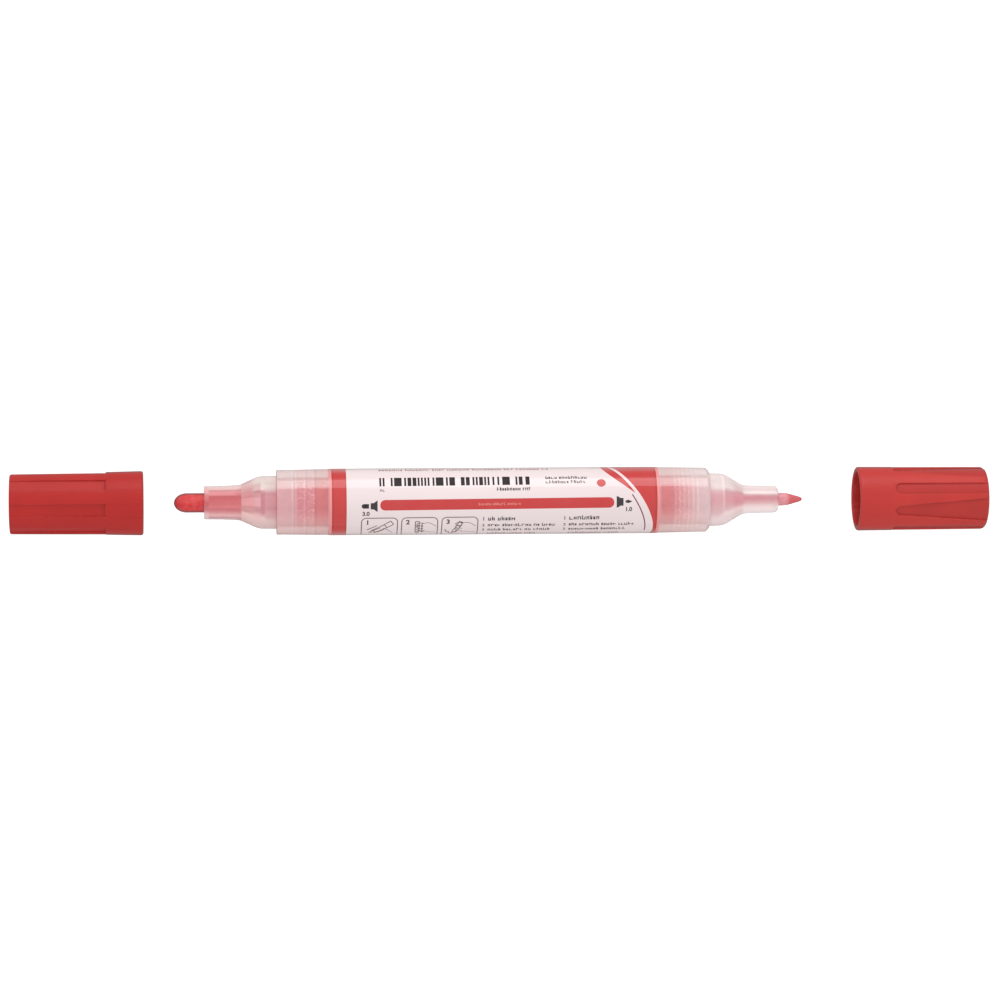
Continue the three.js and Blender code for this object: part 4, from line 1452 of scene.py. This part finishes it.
def build_floor():
    shape = bmesh.new()
    bmesh.ops.create_grid(shape, x_segments=24, y_segments=24, size=FLOOR_M / 2)
    bmesh.ops.translate(shape, verts=shape.verts, vec=(0, 0, cad_low.z - FLOOR_GAP * MM))
    mesh = mesh_of("floor", shape)
    white = {"base_color": (0.35, 0.35, 0.35, 1), "emission_color": (1, 1, 1, 1)}
    look = Look("pale_floor", roughness=0.9, specular_ior_level=0.0, **white)
    rays = look.node("LightPath").outputs
    through = rays["Is Transmission Ray"]
    mirrored = look.maths("MULTIPLY", rays["Is Glossy Ray"], look.maths("SUBTRACT", 1.0, through))
    seen = look.maths("MAXIMUM", rays["Is Camera Ray"], through)
    unseen = look.remap(mirrored, 0.0, 1.0, FLOOR_LIGHT, FLOOR_MIRRORED)
    glow = look.maths("MAXIMUM", look.remap(seen, 0.0, 1.0, 0.0, FLOOR_SEEN), unseen)
    look.set("Emission Strength", glow)
    mesh.materials.append(look.material)
    in_scene("floor", mesh)


def build_light():
    """An even white sky, a little brighter towards +Y, and a strip lamp on that side."""
    world = bpy.data.worlds.new("plain_studio")
    world.use_nodes = True
    nodes, links = world.node_tree.nodes, world.node_tree.links
    background = nodes["Background"]
    background.inputs["Color"].default_value = (1, 1, 1, 1)
    split = nodes.new("ShaderNodeSeparateXYZ")
    links.new(nodes.new("ShaderNodeTexCoord").outputs["Generated"], split.inputs[0])
    tilt = nodes.new("ShaderNodeMath")
    tilt.operation = "MULTIPLY_ADD"
    links.new(split.outputs["Y"], tilt.inputs[0])
    tilt.inputs[1].default_value = WORLD_LIGHT * WORLD_TILT
    tilt.inputs[2].default_value = WORLD_LIGHT
    links.new(tilt.outputs[0], background.inputs["Strength"])
    bpy.context.scene.world = world
    lamp = bpy.data.lights.new("strip", "AREA")
    lamp.shape = "RECTANGLE"
    lamp.size = STRIP_LENGTH_M
    lamp.size_y = 2 * STRIP_AWAY_M * math.tan(STRIP_SPAN / 2)
    lamp.energy = STRIP_RADIANCE * math.pi * lamp.size * lamp.size_y
    strip = in_scene("strip", lamp)
    strip.visible_camera = False
    away = Vector((0, math.sin(STRIP_TILT), math.cos(STRIP_TILT)))
    along = Vector((1, 0, 0))
    turn = Matrix((along, away.cross(along), away)).transposed().to_4x4()
    strip.matrix_world = Matrix.Translation(away * STRIP_AWAY_M + along * STRIP_MIDDLE_M) @ turn


CAMERA_LENS = 149.3  # with a sensor 36 wide
CAMERA_STANDS = Vector((-65.4, 0.2, 880.0))  # from the middle of the CAD box
CAMERA_LOOKS_AT = Vector((-0.3, 0.2, 0.0))
CAMERA_TURN = 0.0063  # as a slope


def build_camera():
    """Straight down from above the bullet end, turned a little along the marker."""
    data = bpy.data.cameras.new("view")
    data.sensor_width = 36.0
    data.lens = CAMERA_LENS
    data.clip_start = 0.01
    data.clip_end = 10
    camera = in_scene("view", data)
    centre = (cad_low + cad_high) / 2
    stands = centre + CAMERA_STANDS * MM
    back = (stands - (centre + CAMERA_LOOKS_AT * MM)).normalized()
    right = Vector((CAMERA_TURN, 1, 0)).cross(back).normalized()
    axes = Matrix((right, back.cross(right), back)).transposed().to_4x4()
    camera.matrix_world = Matrix.Translation(stands) @ axes
    bpy.context.scene.camera = camera


build_barrel()
build_paint()
build_noses()
build_nose_seal()
build_valves()
build_bullet_nib()
build_fine_nib()
build_caps()
build_ball()
build_film()
build_print()
build_floor()
build_light()
build_camera()
bpy.context.scene.view_settings.view_transform = "Standard"
bpy.context.scene.cycles.max_bounces = BOUNCES
bpy.context.scene.cycles.transmission_bounces = BOUNCES
